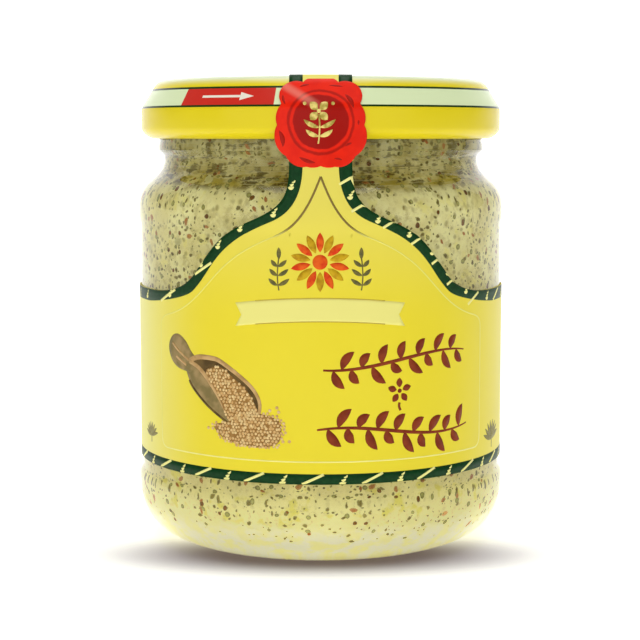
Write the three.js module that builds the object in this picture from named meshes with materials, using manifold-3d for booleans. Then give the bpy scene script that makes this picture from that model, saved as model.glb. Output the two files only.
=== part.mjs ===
// A sealed glass jar of coarse-grain mustard: a round glass jar, the mustard in it, a pressed
// metal twist-off lid, and one wrap-round paper label. The label's bell-shaped front runs up
// into a strip, which crosses the neck and the lid and carries a wax-seal print.
// Millimetres, +Z up. The origin is the middle of the underside, and the label's front faces -Y.

import * as THREE from 'three';
import { mergeVertices } from 'three/addons/utils/BufferGeometryUtils.js';
import Module from 'manifold-3d';

const wasm = await Module();
wasm.setup();

const AROUND = 60; // facets round a turned piece
const CURVE_STEP = 2.4; // distance between points on the curved stretches of a profile

// Outside of the glass, from the underside up
const glass = {
  pushUp: 1.4,
  ringInner: 21.6,
  ringOuter: 24.3,
  heelRadius: 33.35,
  heelTop: 9.8,
  heelFullness: 0.58,
  lowerBandTop: 11.0,
  panelBottom: 13.3,
  panelRadius: 32.75,
  panelTop: 56.4,
  upperBandBottom: 58.5,
  upperBandRadius: 33.05,
  upperBandTop: 59.9,
  shoulderRadius: 30.9,
  shoulderHeight: 64.45,
  shoulderPitch: 41.5, // degrees, where the shoulder turns from bulging to hollow
  shoulderHandles: [2.0, 1.7, 1.6, 2.2], // how far each end holds its direction
  neckRadius: 28.39,
  neckHeight: 68.5,
  beadRadius: 29.41,
  beadBottom: 70.3,
  beadTop: 70.8,
  finishRadius: 29.2,
  finishBottom: 71.6,
  rimRadius: 28.3,
  rimHeight: 81.7,
};

// Inside of the glass
const cavity = {
  floorHeight: 4.2,
  floorRadius: 21.0,
  cornerFullness: 0.65,
  wallRadius: 30.55,
  wallBottom: 11.5,
  wallTop: 58.5,
  shoulderHold: 0.58,
  neckRadius: 26.3,
  neckBottom: 67.4,
  rimChamfer: 0.8,
};

// Pressed lid
const lid = {
  radius: 32.4,
  skin: 0.4,
  curlBottom: 71.95,
  curlInner: 29.8,
  curlTop: 73.9,
  curlFullness: 0.42,
  curlHollow: 1.1,
  sideTop: 77.3,
  coneTopRadius: 30.16,
  coneTop: 81.0,
  height: 82.4,
  ringOuter: 27.7,
  ringInner: 25.6,
  panelRadius: 24.0,
  panelHeight: 81.8,
  buttonRadius: 8.5,
  buttonSlope: 1.6,
  buttonDrop: 0.35,
};

// Paper label
const label = {
  thickness: 0.15,
  gap: 0.15,
  bottom: 14.8,
  sideTop: 45.8,
  bellHalf: 37.0,
  backGap: 3.0,
  stripHalf: 5.2,
  stripStart: 68.0,
  lidRun: 6.0,
  wrapSteps: 16,
  stripSteps: 4,
  sealSteps: 22,
};

// The seal's outline is the union of these round lobes: offset either side, height along the
// strip, radius
const sealLobes = [
  [0, 75.2, 7.0],
  [2.9, 70.5, 3.1],
  [3.9, 72.5, 3.75],
  [4.3, 75.4, 3.1],
  [4.0, 79.2, 2.85],
  [0, 79.4, 3.8],
];

// Mustard and the seeds that show through the glass
const mustard = {
  inset: 0.62,
  level: 76.0,
  crown: 0.4,
  facets: 40,
};
const seeds = {
  count: 64,
  radius: 0.95,
  flatness: 0.34,
  lowBand: [5.6, 13.4],
  highBand: [47.2, 70.0],
  clearOfLabel: 1.2,
  randomSeed: 20731,
};

// Turned pieces

// Points of a profile: the ends of its straight lines, and evenly spaced points on its curves.
function profilePoints(path) {
  const points = [path.curves[0].getPoint(0)];
  for (const curve of path.curves) {
    const steps = curve.isLineCurve ? 1 : Math.max(3, Math.round(curve.getLength() / CURVE_STEP));
    for (let i = 1; i <= steps; i += 1) points.push(curve.getPointAt(i / steps));
  }
  return points;
}

function turned(profile, facets = AROUND) {
  const geometry = new THREE.LatheGeometry(profile, facets);
  geometry.rotateX(Math.PI / 2);
  return welded(geometry);
}

// Shared corners become one vertex, and triangles that have shrunk to a line go.
function welded(geometry) {
  geometry.deleteAttribute('normal');
  geometry.deleteAttribute('uv');
  const merged = mergeVertices(geometry, 1e-4);
  const index = merged.getIndex().array;
  const kept = [];
  for (let i = 0; i < index.length; i += 3) {
    const [a, b, c] = [index[i], index[i + 1], index[i + 2]];
    if (a !== b && b !== c && c !== a) kept.push(a, b, c);
  }
  merged.setIndex(kept);
  merged.computeVertexNormals();
  return merged;
}

// Carries a profile on in an S from one upright stretch to the next; hold is the share of the
// rise for which each end keeps upright.
function stepTo(path, radius, height, hold = 0.5) {
  const from = path.currentPoint.clone();
  const handle = hold * (height - from.y);
  path.bezierCurveTo(from.x, from.y + handle, radius, height - handle, radius, height);
}

// Carries a profile on round a quarter turn, from level to upright.
function roundTo(path, radius, height, fullness) {
  const from = path.currentPoint.clone();
  path.bezierCurveTo(
    from.x + fullness * (radius - from.x), from.y,
    radius, height - fullness * (height - from.y),
    radius, height,
  );
}

// The outside of the glass, from the middle of the underside to the rim.
function glassOutside() {
  const g = glass;
  const path = new THREE.Path();
  path.moveTo(0, g.pushUp);
  path.lineTo(0.5 * g.ringInner, 0.9 * g.pushUp);
  path.lineTo(g.ringInner - g.pushUp, 0.3 * g.pushUp);
  path.lineTo(g.ringInner, 0);
  path.lineTo(g.ringOuter, 0);
  roundTo(path, g.heelRadius, g.heelTop, g.heelFullness);
  path.lineTo(g.heelRadius, g.lowerBandTop);
  stepTo(path, g.panelRadius, g.panelBottom);
  path.lineTo(g.panelRadius, g.panelTop);
  stepTo(path, g.upperBandRadius, g.upperBandBottom);
  path.lineTo(g.upperBandRadius, g.upperBandTop);
  const pitch = THREE.MathUtils.degToRad(g.shoulderPitch);
  const [band, under, over, neck] = g.shoulderHandles;
  path.bezierCurveTo(
    g.upperBandRadius, g.upperBandTop + band,
    g.shoulderRadius + under * Math.cos(pitch), g.shoulderHeight - under * Math.sin(pitch),
    g.shoulderRadius, g.shoulderHeight,
  );
  path.bezierCurveTo(
    g.shoulderRadius - over * Math.cos(pitch), g.shoulderHeight + over * Math.sin(pitch),
    g.neckRadius, g.neckHeight - neck,
    g.neckRadius, g.neckHeight,
  );
  stepTo(path, g.beadRadius, g.beadBottom);
  path.lineTo(g.beadRadius, g.beadTop);
  path.lineTo(g.finishRadius, g.finishBottom);
  path.lineTo(g.finishRadius, g.rimHeight - (g.finishRadius - g.rimRadius));
  path.lineTo(g.rimRadius, g.rimHeight);
  return profilePoints(path);
}

// The inside of the glass, from the middle of the floor to the neck.
function glassInside() {
  const c = cavity;
  const path = new THREE.Path();
  path.moveTo(0, c.floorHeight);
  path.lineTo(c.floorRadius, c.floorHeight);
  roundTo(path, c.wallRadius, c.wallBottom, c.cornerFullness);
  path.lineTo(c.wallRadius, c.wallTop);
  stepTo(path, c.neckRadius, c.neckBottom, c.shoulderHold);
  return profilePoints(path);
}

// A profile's points moved square to its run, to the left of it: inwards, as it runs upwards.
function movedIn(points, margin) {
  return points.map((point, i) => {
    const before = points[Math.max(i - 1, 0)];
    const after = points[Math.min(i + 1, points.length - 1)];
    const along = new THREE.Vector2().subVectors(after, before).normalize();
    return new THREE.Vector2(point.x - along.y * margin, point.y + along.x * margin);
  });
}

function jarGeometry() {
  const inside = glassInside();
  inside.push(
    new THREE.Vector2(cavity.neckRadius, glass.rimHeight - cavity.rimChamfer),
    new THREE.Vector2(cavity.neckRadius + cavity.rimChamfer, glass.rimHeight),
  );
  return turned([...glassOutside(), ...inside.reverse()]);
}

// Radius at which the lid's cone, carried on upwards, would reach a height.
function coneRadius(height) {
  const narrowing = (lid.radius - lid.coneTopRadius) / (lid.coneTop - lid.sideTop);
  return lid.coneTopRadius - narrowing * (height - lid.coneTop);
}

function lidGeometry() {
  const l = lid;
  const path = new THREE.Path();
  path.moveTo(l.curlInner + 0.5 * l.skin, l.curlBottom);
  roundTo(path, l.radius, l.curlTop, l.curlFullness);
  path.lineTo(l.radius, l.sideTop);
  path.lineTo(l.coneTopRadius, l.coneTop);
  path.quadraticCurveTo(coneRadius(l.height), l.height, l.ringOuter, l.height);
  path.lineTo(l.ringInner, l.height);
  path.lineTo(l.panelRadius, l.panelHeight);
  path.lineTo(l.buttonRadius, l.panelHeight);
  path.lineTo(l.buttonRadius - l.buttonSlope, l.panelHeight - l.buttonDrop);
  path.lineTo(0, l.panelHeight - l.buttonDrop);
  const outside = profilePoints(path);
  const curlLip = l.curlTop + l.skin;
  const hollow = movedIn(outside, l.skin).filter((point) => point.y > curlLip).reverse();
  const curl = [
    new THREE.Vector2(l.radius - l.skin, l.curlTop + l.curlHollow),
    new THREE.Vector2(l.curlInner + 2 * l.skin, curlLip - 0.5 * l.skin),
    new THREE.Vector2(l.curlInner, l.curlTop - 2 * l.skin),
    new THREE.Vector2(l.curlInner, l.curlBottom + 0.5 * l.skin),
  ];
  return turned([...outside, ...hollow, ...curl, outside[0]]);
}

// Radius of a profile at a height, between its points.
function radiusAt(profile, height) {
  for (let i = 1; i < profile.length; i += 1) {
    const [a, b] = [profile[i - 1], profile[i]];
    if (a.y <= height && height <= b.y && b.y > a.y) {
      return a.x + ((b.x - a.x) * (height - a.y)) / (b.y - a.y);
    }
  }
  return profile[profile.length - 1].x;
}

// Label

// The label's under face as a line in radius and height: up the panel, out over the upper
// band, straight across the neck to the lid, up its side and cone, and on over its top.
const labelLine = (() => {
  const radius = glass.panelRadius + label.gap;
  const bandRadius = glass.upperBandRadius + label.gap;
  const lidRadius = lid.radius + label.gap;
  const top = lid.height + label.gap;
  const path = new THREE.Path();
  path.moveTo(radius, label.bottom);
  path.lineTo(radius, glass.panelTop);
  path.lineTo(bandRadius, glass.upperBandBottom);
  path.lineTo(bandRadius, glass.upperBandTop);
  path.lineTo(lidRadius, lid.curlTop);
  path.lineTo(lidRadius, lid.sideTop + 0.5 * label.gap);
  path.lineTo(lid.coneTopRadius + label.gap, lid.coneTop + 0.5 * label.gap);
  path.quadraticCurveTo(coneRadius(lid.height) + label.gap, top, lid.ringOuter, top);
  path.lineTo(lid.ringInner, top);
  path.lineTo(lid.panelRadius - label.gap, lid.panelHeight + label.gap);
  path.lineTo(lid.panelRadius - label.lidRun, lid.panelHeight + label.gap);
  return path;
})();
const labelBends = labelLine.getCurveLengths().map((length) => label.bottom + length);
const labelEnd = labelBends[labelBends.length - 1];

// Half of the label's upper outline, from the strip down to the level sides.
const bell = (() => {
  const path = new THREE.Path();
  path.moveTo(label.stripHalf, label.stripStart);
  path.bezierCurveTo(label.stripHalf, 62.6, 6.2, 60.9, 11.75, 58.65);
  path.bezierCurveTo(17.0, 56.5, 18.0, 55.3, 23.2, 49.2);
  path.bezierCurveTo(25.8, 46.5, 29.5, label.sideTop, label.bellHalf, label.sideTop);
  return path.getPoints(6);
})();

function labelTop(side) {
  const s = Math.abs(side);
  if (s <= label.stripHalf) return label.stripStart;
  for (let i = 1; i < bell.length; i += 1) {
    const [a, b] = [bell[i - 1], bell[i]];
    if (s <= b.x && b.x > a.x) return a.y + ((b.y - a.y) * (s - a.x)) / (b.x - a.x);
  }
  return label.sideTop;
}

// The strip's half width at a height along it: its own, or the seal's where that is wider.
function stripHalfWidth(height) {
  let half = label.stripHalf;
  for (const [offset, middle, radius] of sealLobes) {
    const rise = height - middle;
    if (Math.abs(rise) < radius) {
      half = Math.max(half, offset + Math.sqrt(radius * radius - rise * rise));
    }
  }
  return half;
}

// Point of the label: side is the distance round the jar from the front, height is measured
// along the label's line, and lift is the distance out from its under face.
function labelPoint(side, height, lift) {
  const share = Math.min(1, (height - label.bottom) / (labelEnd - label.bottom));
  const on = labelLine.getPoint(share);
  const along = labelLine.getTangent(share);
  const radius = on.x + along.y * lift;
  const z = on.y - along.x * lift;
  const angle = side / (glass.panelRadius + label.gap);
  if (height <= glass.panelTop) {
    return new THREE.Vector3(radius * Math.sin(angle), -radius * Math.cos(angle), z);
  }
  const x = (glass.panelRadius + label.gap) * Math.sin(angle);
  return new THREE.Vector3(x, -Math.sqrt(radius * radius - x * x), z);
}

// A flat sheet of triangles in side and height becomes a closed skin: an outer and an inner
// face, joined along every edge that only one triangle has.
function skin(cells, thickness) {
  const corners = [];
  const known = new Map();
  const cornerOf = ([side, height]) => {
    const key = `${side.toFixed(4)},${height.toFixed(4)}`;
    if (!known.has(key)) {
      known.set(key, corners.length);
      corners.push([side, height]);
    }
    return known.get(key);
  };
  const faces = [];
  for (const cell of cells) {
    const [a, b, c, d] = cell.map(cornerOf);
    for (const face of [[a, b, c], [a, c, d]]) {
      if (new Set(face).size === 3) faces.push(face);
    }
  }
  const open = new Map();
  for (const face of faces) {
    face.forEach((from, i) => {
      const to = face[(i + 1) % 3];
      if (!open.delete(`${to},${from}`)) open.set(`${from},${to}`, [from, to]);
    });
  }
  const count = corners.length;
  const index = [];
  for (const [a, b, c] of faces) {
    index.push(a, b, c, a + count, c + count, b + count);
  }
  for (const [from, to] of open.values()) {
    index.push(from, from + count, to, to, from + count, to + count);
  }
  const outer = corners.map(([side, height]) => labelPoint(side, height, thickness));
  const inner = corners.map(([side, height]) => labelPoint(side, height, 0));
  const geometry = new THREE.BufferGeometry().setFromPoints([...outer, ...inner]);
  geometry.setIndex(index);
  geometry.computeVertexNormals();
  return geometry;
}

// Even steps from one number up to another, with both ends.
function evenly(from, to, steps) {
  return Array.from({ length: steps + 1 }, (_, i) => from + ((to - from) * i) / steps);
}

function labelGeometry() {
  const reach = Math.PI * (glass.panelRadius + label.gap) - label.backGap / 2;
  const right = [
    ...bell.slice(1).map((point) => point.x),
    ...evenly(label.bellHalf, reach, label.wrapSteps).slice(1),
  ];
  const across = evenly(-1, 1, label.stripSteps);
  const sides = [
    ...right.map((s) => -s).reverse(),
    ...across.map((share) => share * label.stripHalf),
    ...right,
  ];
  const levels = [
    label.bottom,
    label.sideTop,
    ...labelBends.filter((height) => height < label.stripStart),
    label.stripStart,
  ];
  const cells = [];
  for (let i = 1; i < sides.length; i += 1) {
    for (let k = 1; k < levels.length; k += 1) {
      const corner = (side, level) => [side, Math.min(level, labelTop(side))];
      cells.push([
        corner(sides[i - 1], levels[k - 1]),
        corner(sides[i], levels[k - 1]),
        corner(sides[i], levels[k]),
        corner(sides[i - 1], levels[k]),
      ]);
    }
  }
  const sealTop = Math.max(...sealLobes.map(([, middle, radius]) => middle + radius));
  const rows = [
    ...evenly(label.stripStart, sealTop, label.sealSteps),
    ...labelBends.filter((height) => height > label.stripStart),
  ].sort((a, b) => a - b);
  for (let k = 1; k < rows.length; k += 1) {
    for (let i = 1; i < across.length; i += 1) {
      const corner = (share, height) => [share * stripHalfWidth(height), height];
      cells.push([
        corner(across[i - 1], rows[k - 1]),
        corner(across[i], rows[k - 1]),
        corner(across[i], rows[k]),
        corner(across[i - 1], rows[k]),
      ]);
    }
  }
  return skin(cells, label.thickness);
}

// Mustard

// A repeatable source of even numbers from 0 to 1.
function draws(start) {
  let state = start;
  return () => {
    state = (state * 1103515245 + 12345) % 2147483648;
    return state / 2147483648;
  };
}

function asSolid(geometry) {
  return new wasm.Manifold(new wasm.Mesh({
    numProp: 3,
    vertProperties: Float32Array.from(geometry.getAttribute('position').array),
    triVerts: Uint32Array.from(geometry.getIndex().array),
  }));
}

function asGeometry(solid) {
  const mesh = solid.getMesh();
  const geometry = new THREE.BufferGeometry();
  geometry.setAttribute('position', new THREE.BufferAttribute(mesh.vertProperties, 3));
  geometry.setIndex(new THREE.BufferAttribute(mesh.triVerts, 1));
  geometry.computeVertexNormals();
  return geometry;
}

function seedGeometry(angle, height, profile, size, turn) {
  const radius = radiusAt(profile, height);
  const slope = radiusAt(profile, height + 0.3) - radiusAt(profile, height - 0.3);
  const lean = Math.atan2(slope, 0.6);
  const geometry = new THREE.IcosahedronGeometry(seeds.radius * size, 0);
  geometry.rotateZ(turn);
  geometry.scale(1, 0.8, seeds.flatness);
  geometry.rotateX(Math.PI / 2 + lean);
  geometry.translate(0, -radius, height);
  geometry.rotateZ(angle);
  return welded(geometry);
}

function mustardGeometry() {
  const profile = movedIn(glassInside(), mustard.inset);
  const top = [
    new THREE.Vector2(cavity.neckRadius - mustard.inset, mustard.level),
    new THREE.Vector2(0, mustard.level + mustard.crown),
  ];
  let solid = asSolid(turned([...profile, ...top], mustard.facets));
  const random = draws(seeds.randomSeed);
  const [lowFrom, lowTo] = seeds.lowBand;
  const [highFrom, highTo] = seeds.highBand;
  const placed = [];
  while (placed.length < seeds.count) {
    const inLowBand = placed.length % 3 === 0;
    const height = inLowBand
      ? lowFrom + (lowTo - lowFrom) * random()
      : highFrom + (highTo - highFrom) * random();
    const angle = 2 * Math.PI * random();
    const size = 0.75 + 0.3 * random();
    const turn = Math.PI * random();
    const side = Math.atan2(Math.sin(angle), Math.cos(angle)) * glass.panelRadius;
    const hidden = !inLowBand && height < labelTop(side) + seeds.clearOfLabel;
    const crowded = placed.some(([a, h]) => {
      const apart = Math.abs(Math.atan2(Math.sin(angle - a), Math.cos(angle - a)));
      return Math.hypot(apart * cavity.neckRadius, height - h) < 2.4 * seeds.radius;
    });
    if (!hidden && !crowded) {
      placed.push([angle, height]);
      solid = solid.add(asSolid(seedGeometry(angle, height, profile, size, turn)));
    }
  }
  return asGeometry(solid);
}

// The jar

const pieces = {
  glass_jar: [jarGeometry(), { color: 0xe4ecdf, roughness: 0.05, metalness: 0.0 }],
  mustard: [mustardGeometry(), { color: 0xd2cd92, roughness: 0.5, metalness: 0.0 }],
  lid: [lidGeometry(), { color: 0xe3cf22, roughness: 0.3, metalness: 0.0 }],
  label: [labelGeometry(), { color: 0xe9df4a, roughness: 0.4, metalness: 0.0 }],
};

const jar = new THREE.Group();
for (const [name, [geometry, finish]] of Object.entries(pieces)) {
  const mesh = new THREE.Mesh(geometry, new THREE.MeshStandardMaterial(finish));
  mesh.name = name;
  jar.add(mesh);
}

export default jar;
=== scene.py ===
import math

import bmesh
import bpy
import numpy as np
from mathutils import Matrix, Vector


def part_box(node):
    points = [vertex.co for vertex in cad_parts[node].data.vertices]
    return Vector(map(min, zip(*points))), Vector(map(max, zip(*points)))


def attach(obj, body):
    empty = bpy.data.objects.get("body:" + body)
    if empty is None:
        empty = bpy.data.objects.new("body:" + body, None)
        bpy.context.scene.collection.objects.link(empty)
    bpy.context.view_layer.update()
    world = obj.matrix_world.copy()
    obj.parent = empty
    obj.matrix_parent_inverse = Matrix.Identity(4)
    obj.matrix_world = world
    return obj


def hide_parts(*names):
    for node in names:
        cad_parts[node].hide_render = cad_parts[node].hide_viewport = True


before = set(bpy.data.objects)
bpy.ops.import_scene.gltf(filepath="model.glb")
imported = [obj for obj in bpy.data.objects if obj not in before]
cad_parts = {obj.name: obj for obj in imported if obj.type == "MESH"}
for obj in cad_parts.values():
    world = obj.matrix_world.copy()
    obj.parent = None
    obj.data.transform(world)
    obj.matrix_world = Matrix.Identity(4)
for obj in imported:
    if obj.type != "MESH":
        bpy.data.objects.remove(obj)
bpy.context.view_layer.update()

# Camera: the picture was taken with a long lens held a little below the lid, looking down by six
# degrees. Metres and degrees; the lens is for a sensor 36 mm wide.
CAMERA_AWAY = 0.3086
CAMERA_HEIGHT = 0.0729
CAMERA_DIP = 6.32
CAMERA_LENS = 94.8
CAMERA_SENSOR = 36
CAMERA_SHIFT = -0.0011


def place_camera():
    optics = bpy.data.cameras.new("camera")
    optics.lens = CAMERA_LENS
    optics.sensor_width = CAMERA_SENSOR
    optics.shift_x = CAMERA_SHIFT
    camera = bpy.data.objects.new("camera", optics)
    camera.location = (0, -CAMERA_AWAY, CAMERA_HEIGHT)
    camera.rotation_euler = (math.radians(90 - CAMERA_DIP), 0, 0)
    bpy.context.scene.collection.objects.link(camera)
    bpy.context.scene.camera = camera


place_camera()

# Studio light: a white tent lights the jar evenly, with large soft boxes in front of it on the
# left and the right, one overhead, and one behind that lights the backdrop. Each has its place,
# the point that it faces and its size, in metres, and its power in watts.
TENT_STRENGTH = 0.2
SOFT_BOXES = {
    "box_left": ((-0.5, -0.85, 0.14), (0, 0, 0.03), (1.2, 0.6), 2.7),
    "box_right": ((0.6, -0.85, 0.14), (0, 0, 0.03), (0.8, 0.6), 1.3),
    "box_top": ((0.0, 0.0, 0.8), (0, 0, 0), (0.6, 0.6), 4.4),
    "box_back": ((0.0, 0.8, 0.9), (0, 1.5, 0.2), (1.8, 0.6), 9.0),
}


def place_lights():
    world = bpy.data.worlds.new("tent")
    world.use_nodes = True
    world.node_tree.nodes["Background"].inputs["Color"].default_value = (1, 1, 1, 1)
    world.node_tree.nodes["Background"].inputs["Strength"].default_value = TENT_STRENGTH
    bpy.context.scene.world = world
    for name, (place, faced, size, power) in SOFT_BOXES.items():
        lamp = bpy.data.lights.new(name, "AREA")
        lamp.shape = "RECTANGLE"
        lamp.size, lamp.size_y = size
        lamp.energy = power
        box = bpy.data.objects.new(name, lamp)
        aim = Vector(faced) - Vector(place)
        box.location = place
        box.rotation_euler = aim.to_track_quat("-Z", "Y").to_euler()
        bpy.context.scene.collection.objects.link(box)
    bpy.context.scene.view_settings.view_transform = "Standard"


place_lights()

# Floor: a sheet of white acrylic, lit from below as on a photographer's table, that lies flat
# under the jar and sweeps up behind it, so no edge shows.
MM = 0.001
FLOOR_FRONT = 1500
FLOOR_BACK = 700
FLOOR_HALF = 2200
SWEEP_RADIUS = 900
SWEEP_TOP = 2200
SHADE_REACH = (6.0, 19.0)
SHADE_FORWARD, SHADE_SLIM = 21.0, 0.39
SHADE_DEPTH, TABLE_GLOW = 0.9, 0.5
SWEEP_STEPS, FLOOR_COLUMNS = 33, 9
SAME_PLACE = 1e-4


def bezier(*corners, step=0.4):
    """Points of a Bezier curve, about a step apart: sums of its corners, each corner times its
    Bernstein share of the parameter."""
    corners = np.array(corners, float)
    length = np.linalg.norm(np.diff(corners, axis=0), axis=1).sum()
    last = len(corners) - 1
    t = np.linspace(0, 1, max(3, math.ceil(length / step)) + 1)[:, None]
    shares = [math.comb(last, k) * t**k * (1 - t) ** (last - k) for k in range(last + 1)]
    return sum(share * corner for share, corner in zip(shares, corners))


def directions(line):
    """The unit direction of a line's run at each of its points."""
    along = np.gradient(line, axis=0)
    return along / np.linalg.norm(along, axis=1)[:, None]


def measured(line):
    """How far along a line each of its points lies."""
    return np.concatenate([[0], np.linalg.norm(np.diff(line, axis=0), axis=1).cumsum()])


def line_of(*stretches):
    """Points and curves laid end to end, without a point that repeats its neighbour."""
    points = np.concatenate([np.reshape(np.array(s, float), (-1, 2)) for s in stretches])
    apart = np.linalg.norm(np.diff(points, axis=0), axis=1) > 1e-6
    return points[np.concatenate([[True], apart])]


def grid_faces(rows, columns, closed=False):
    """Quads between neighbours in a grid of points that is numbered row by row. A closed grid
    joins its last column to its first."""
    row = np.arange(rows - 1)[:, None] * columns
    here = np.arange(columns if closed else columns - 1)[None, :]
    beside = (here + 1) % columns
    corners = [row + here, row + beside, row + columns + beside, row + columns + here]
    return np.stack(corners, -1).reshape(-1, 4)


def merge_points(mesh, outwards):
    """Joins points that lie in one place, and turns every face outwards if that is asked."""
    work = bmesh.new()
    work.from_mesh(mesh)
    bmesh.ops.remove_doubles(work, verts=work.verts, dist=SAME_PLACE * MM)
    if outwards:
        bmesh.ops.recalc_face_normals(work, faces=work.faces)
    work.to_mesh(mesh)
    work.free()


def new_piece(name, points, faces, material):
    """A smooth mesh object at the origin, from points in millimetres and corner numbers."""
    mesh = bpy.data.meshes.new(name)
    mesh.from_pydata((points * MM).tolist(), [], faces.tolist())
    mesh.shade_smooth()
    mesh.materials.append(material)
    piece = bpy.data.objects.new(name, mesh)
    bpy.context.scene.collection.objects.link(piece)
    return piece


class Socket:
    """A value on its way through a material. Sums and products with numbers or other Sockets add
    Math nodes."""

    def __init__(self, tree, socket=None):
        self.tree = tree
        self.socket = socket

    def node(self, kind, settings=None, inputs=None, output=0):
        """Adds a node with its settings and the values or links of its inputs, and gives back
        the output that is asked for."""
        made = self.tree.nodes.new("ShaderNode" + kind)
        for name, value in (settings or {}).items():
            setattr(made, name, value)
        for name, value in (inputs or {}).items():
            if isinstance(value, Socket):
                self.tree.links.new(value.socket, made.inputs[name])
            else:
                made.inputs[name].default_value = value
        return Socket(self.tree, made.outputs[output] if made.outputs else None)

    def math(self, operation, *values):
        return self.node("Math", {"operation": operation}, dict(enumerate(values)))

    def __add__(self, other):
        return self.math("ADD", self, other)

    def __sub__(self, other):
        return self.math("SUBTRACT", self, other)

    def __rsub__(self, other):
        return self.math("SUBTRACT", other, self)

    def __mul__(self, other):
        return self.math("MULTIPLY", self, other)

    def rise(self, low, high):
        """0 below the low value, 1 above the high one, and a smooth step between."""
        limits = {"Value": self, "From Min": low, "From Max": high}
        return self.node("MapRange", {"interpolation_type": "SMOOTHSTEP"}, limits)

    def within(self, low, high, soft):
        """1 between two values, with soft edges that lie half on each side of them."""
        up = self.rise(low - soft / 2, low + soft / 2)
        return up * (1 - self.rise(high - soft / 2, high + soft / 2))

    def mix(self, *colours):
        """The first colour where this value is 0, the second where it is 1. Each is a Socket or
        three numbers for a colour as it shows on a screen."""
        first, second = (c if isinstance(c, Socket) else colour(*c) for c in colours)
        return self.node("Mix", {"data_type": "RGBA"}, {0: self, 6: first, 7: second}, 2)

    def axis(self, name):
        return self.node("SeparateXYZ", {}, {0: self}, name)

    def noise(self, scale, detail=2.0, rough=0.5, stretch=(1, 1, 1)):
        """Cloudy noise over this place; the scale is in lumps for each unit of it."""
        spread = self.node("VectorMath", {"operation": "MULTIPLY"}, {0: self, 1: stretch})
        inputs = {"Vector": spread, "Scale": scale, "Detail": detail, "Roughness": rough}
        return self.node("TexNoise", {}, inputs)

    def bump(self, strength, depth):
        """A normal from this value taken as a height, its full range being a depth in mm."""
        inputs = {"Height": self, "Strength": strength, "Distance": depth * MM}
        return self.node("Bump", {}, inputs)


def colour(red, green, blue):
    """A colour as it shows on a screen, 0 to 255, as the light values that a shader takes."""
    shown = np.array([red, green, blue]) / 255
    light = np.where(shown <= 0.04045, shown / 12.92, ((shown + 0.055) / 1.055) ** 2.4)
    return (*light.tolist(), 1.0)


def new_material(name):
    """An empty material and a Socket to build its nodes from."""
    material = bpy.data.materials.new(name)
    material.use_nodes = True
    material.node_tree.nodes.clear()
    return material, Socket(material.node_tree)


def place_in_mm(start):
    """Where a point is in the object's own frame, in millimetres."""
    place = start.node("TexCoord", {}, {}, "Object")
    return start.node("VectorMath", {"operation": "SCALE"}, {0: place, "Scale": 1 / MM})


def finished(material, start, inputs):
    """The material, with one Principled shader that takes these values and links."""
    skin = start.node("BsdfPrincipled", {}, inputs)
    start.node("OutputMaterial", {}, {"Surface": skin})
    return material


def table_white():
    """White acrylic that glows a little, with a soft plum-grey painted shadow at the jar's foot,
    where its colour and its glow are both darkened. The painted shadow is an ellipse that lies
    under the jar's front and is slim in depth."""
    material, start = new_material("table_white")
    place = place_in_mm(start)
    cloud = place.noise(0.02, 3.0)
    x, y = place.axis("X") * SHADE_SLIM, place.axis("Y") + SHADE_FORWARD
    away = start.math("POWER", x * x + y * y, 0.5)
    white = cloud.mix((243, 243, 242), (250, 250, 249))
    # Painted shadow: an ellipse under the jar's front, darker in colour and without glow.
    shade = 1 - away.rise(*SHADE_REACH)
    return finished(material, start, {
        "Base Color": (shade * SHADE_DEPTH).mix(white, (107, 83, 112)),
        "Roughness": 0.85,
        "Emission Color": shade.mix(white, (0, 0, 0)),
        "Emission Strength": TABLE_GLOW,
    })


def make_floor():
    """A line in depth and height, level and then round a quarter circle, drawn across."""
    turn = np.linspace(0, np.pi / 2, SWEEP_STEPS)
    bend = (FLOOR_BACK, 0) + SWEEP_RADIUS * np.stack([np.sin(turn), 1 - np.cos(turn)], -1)
    line = line_of((-FLOOR_FRONT, 0), bend, (FLOOR_BACK + SWEEP_RADIUS, SWEEP_TOP))
    across = np.linspace(-FLOOR_HALF, FLOOR_HALF, FLOOR_COLUMNS)
    x = np.broadcast_to(across, (len(line), len(across)))
    y, z = (np.broadcast_to(part[:, None], x.shape) for part in line.T)
    points = np.stack([x, y, z], -1).reshape(-1, 3)
    floor = new_piece("floor", points, grid_faces(len(line), len(across)), table_white())


make_floor()

# Glass jar: pressed from clear glass, with a wall of two to three millimetres. It stands on a
# narrow ring, the label's panel is sunk between two bands, and the shoulder runs up to a neck
# with a bead under the lid. Radii and heights in millimetres, as everywhere below. Each mould
# line has its height, how far it stands out and its half width.
AROUND = 192
HEEL_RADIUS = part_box("glass_jar")[1].x / MM
RIM_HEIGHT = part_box("glass_jar")[1].z / MM
PUSH_UP = 1.4
RING_INNER, RING_OUTER = 21.6, 24.3
PUSH_UP_FLAT, RING_ROUND, RING_LIP = 0.6, 0.8, (0.3, 0.2)
HEEL_TOP, HEEL_FULLNESS = 9.8, 0.58
LOWER_BAND_TOP = 11.0
PANEL_BOTTOM, PANEL_TOP = 13.3, 56.4
PANEL_RADIUS = 32.75
UPPER_BAND_BOTTOM, UPPER_BAND_TOP = 58.5, 59.9
UPPER_BAND_RADIUS = 33.05
SHOULDER_RADIUS, SHOULDER_HEIGHT = 30.9, 64.45
SHOULDER_PITCH = math.radians(41.5)
SHOULDER_HANDLES = (2.0, 1.7, 1.6, 2.2)
FINE_STEP = 0.08
NECK_RADIUS, NECK_HEIGHT = 28.39, 68.5
BEAD_RADIUS, BEAD_BOTTOM, BEAD_TOP = 29.41, 70.3, 70.8
FINISH_RADIUS, FINISH_BOTTOM = 29.2, 71.6
RIM_RADIUS = 28.3
MOULD_LINES = ((67.1, 0.07, 0.12), (70.0, 0.09, 0.12))
FLOOR_HEIGHT, FLOOR_RADIUS = 4.2, 21.0
CORNER_FULLNESS = 0.65
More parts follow.
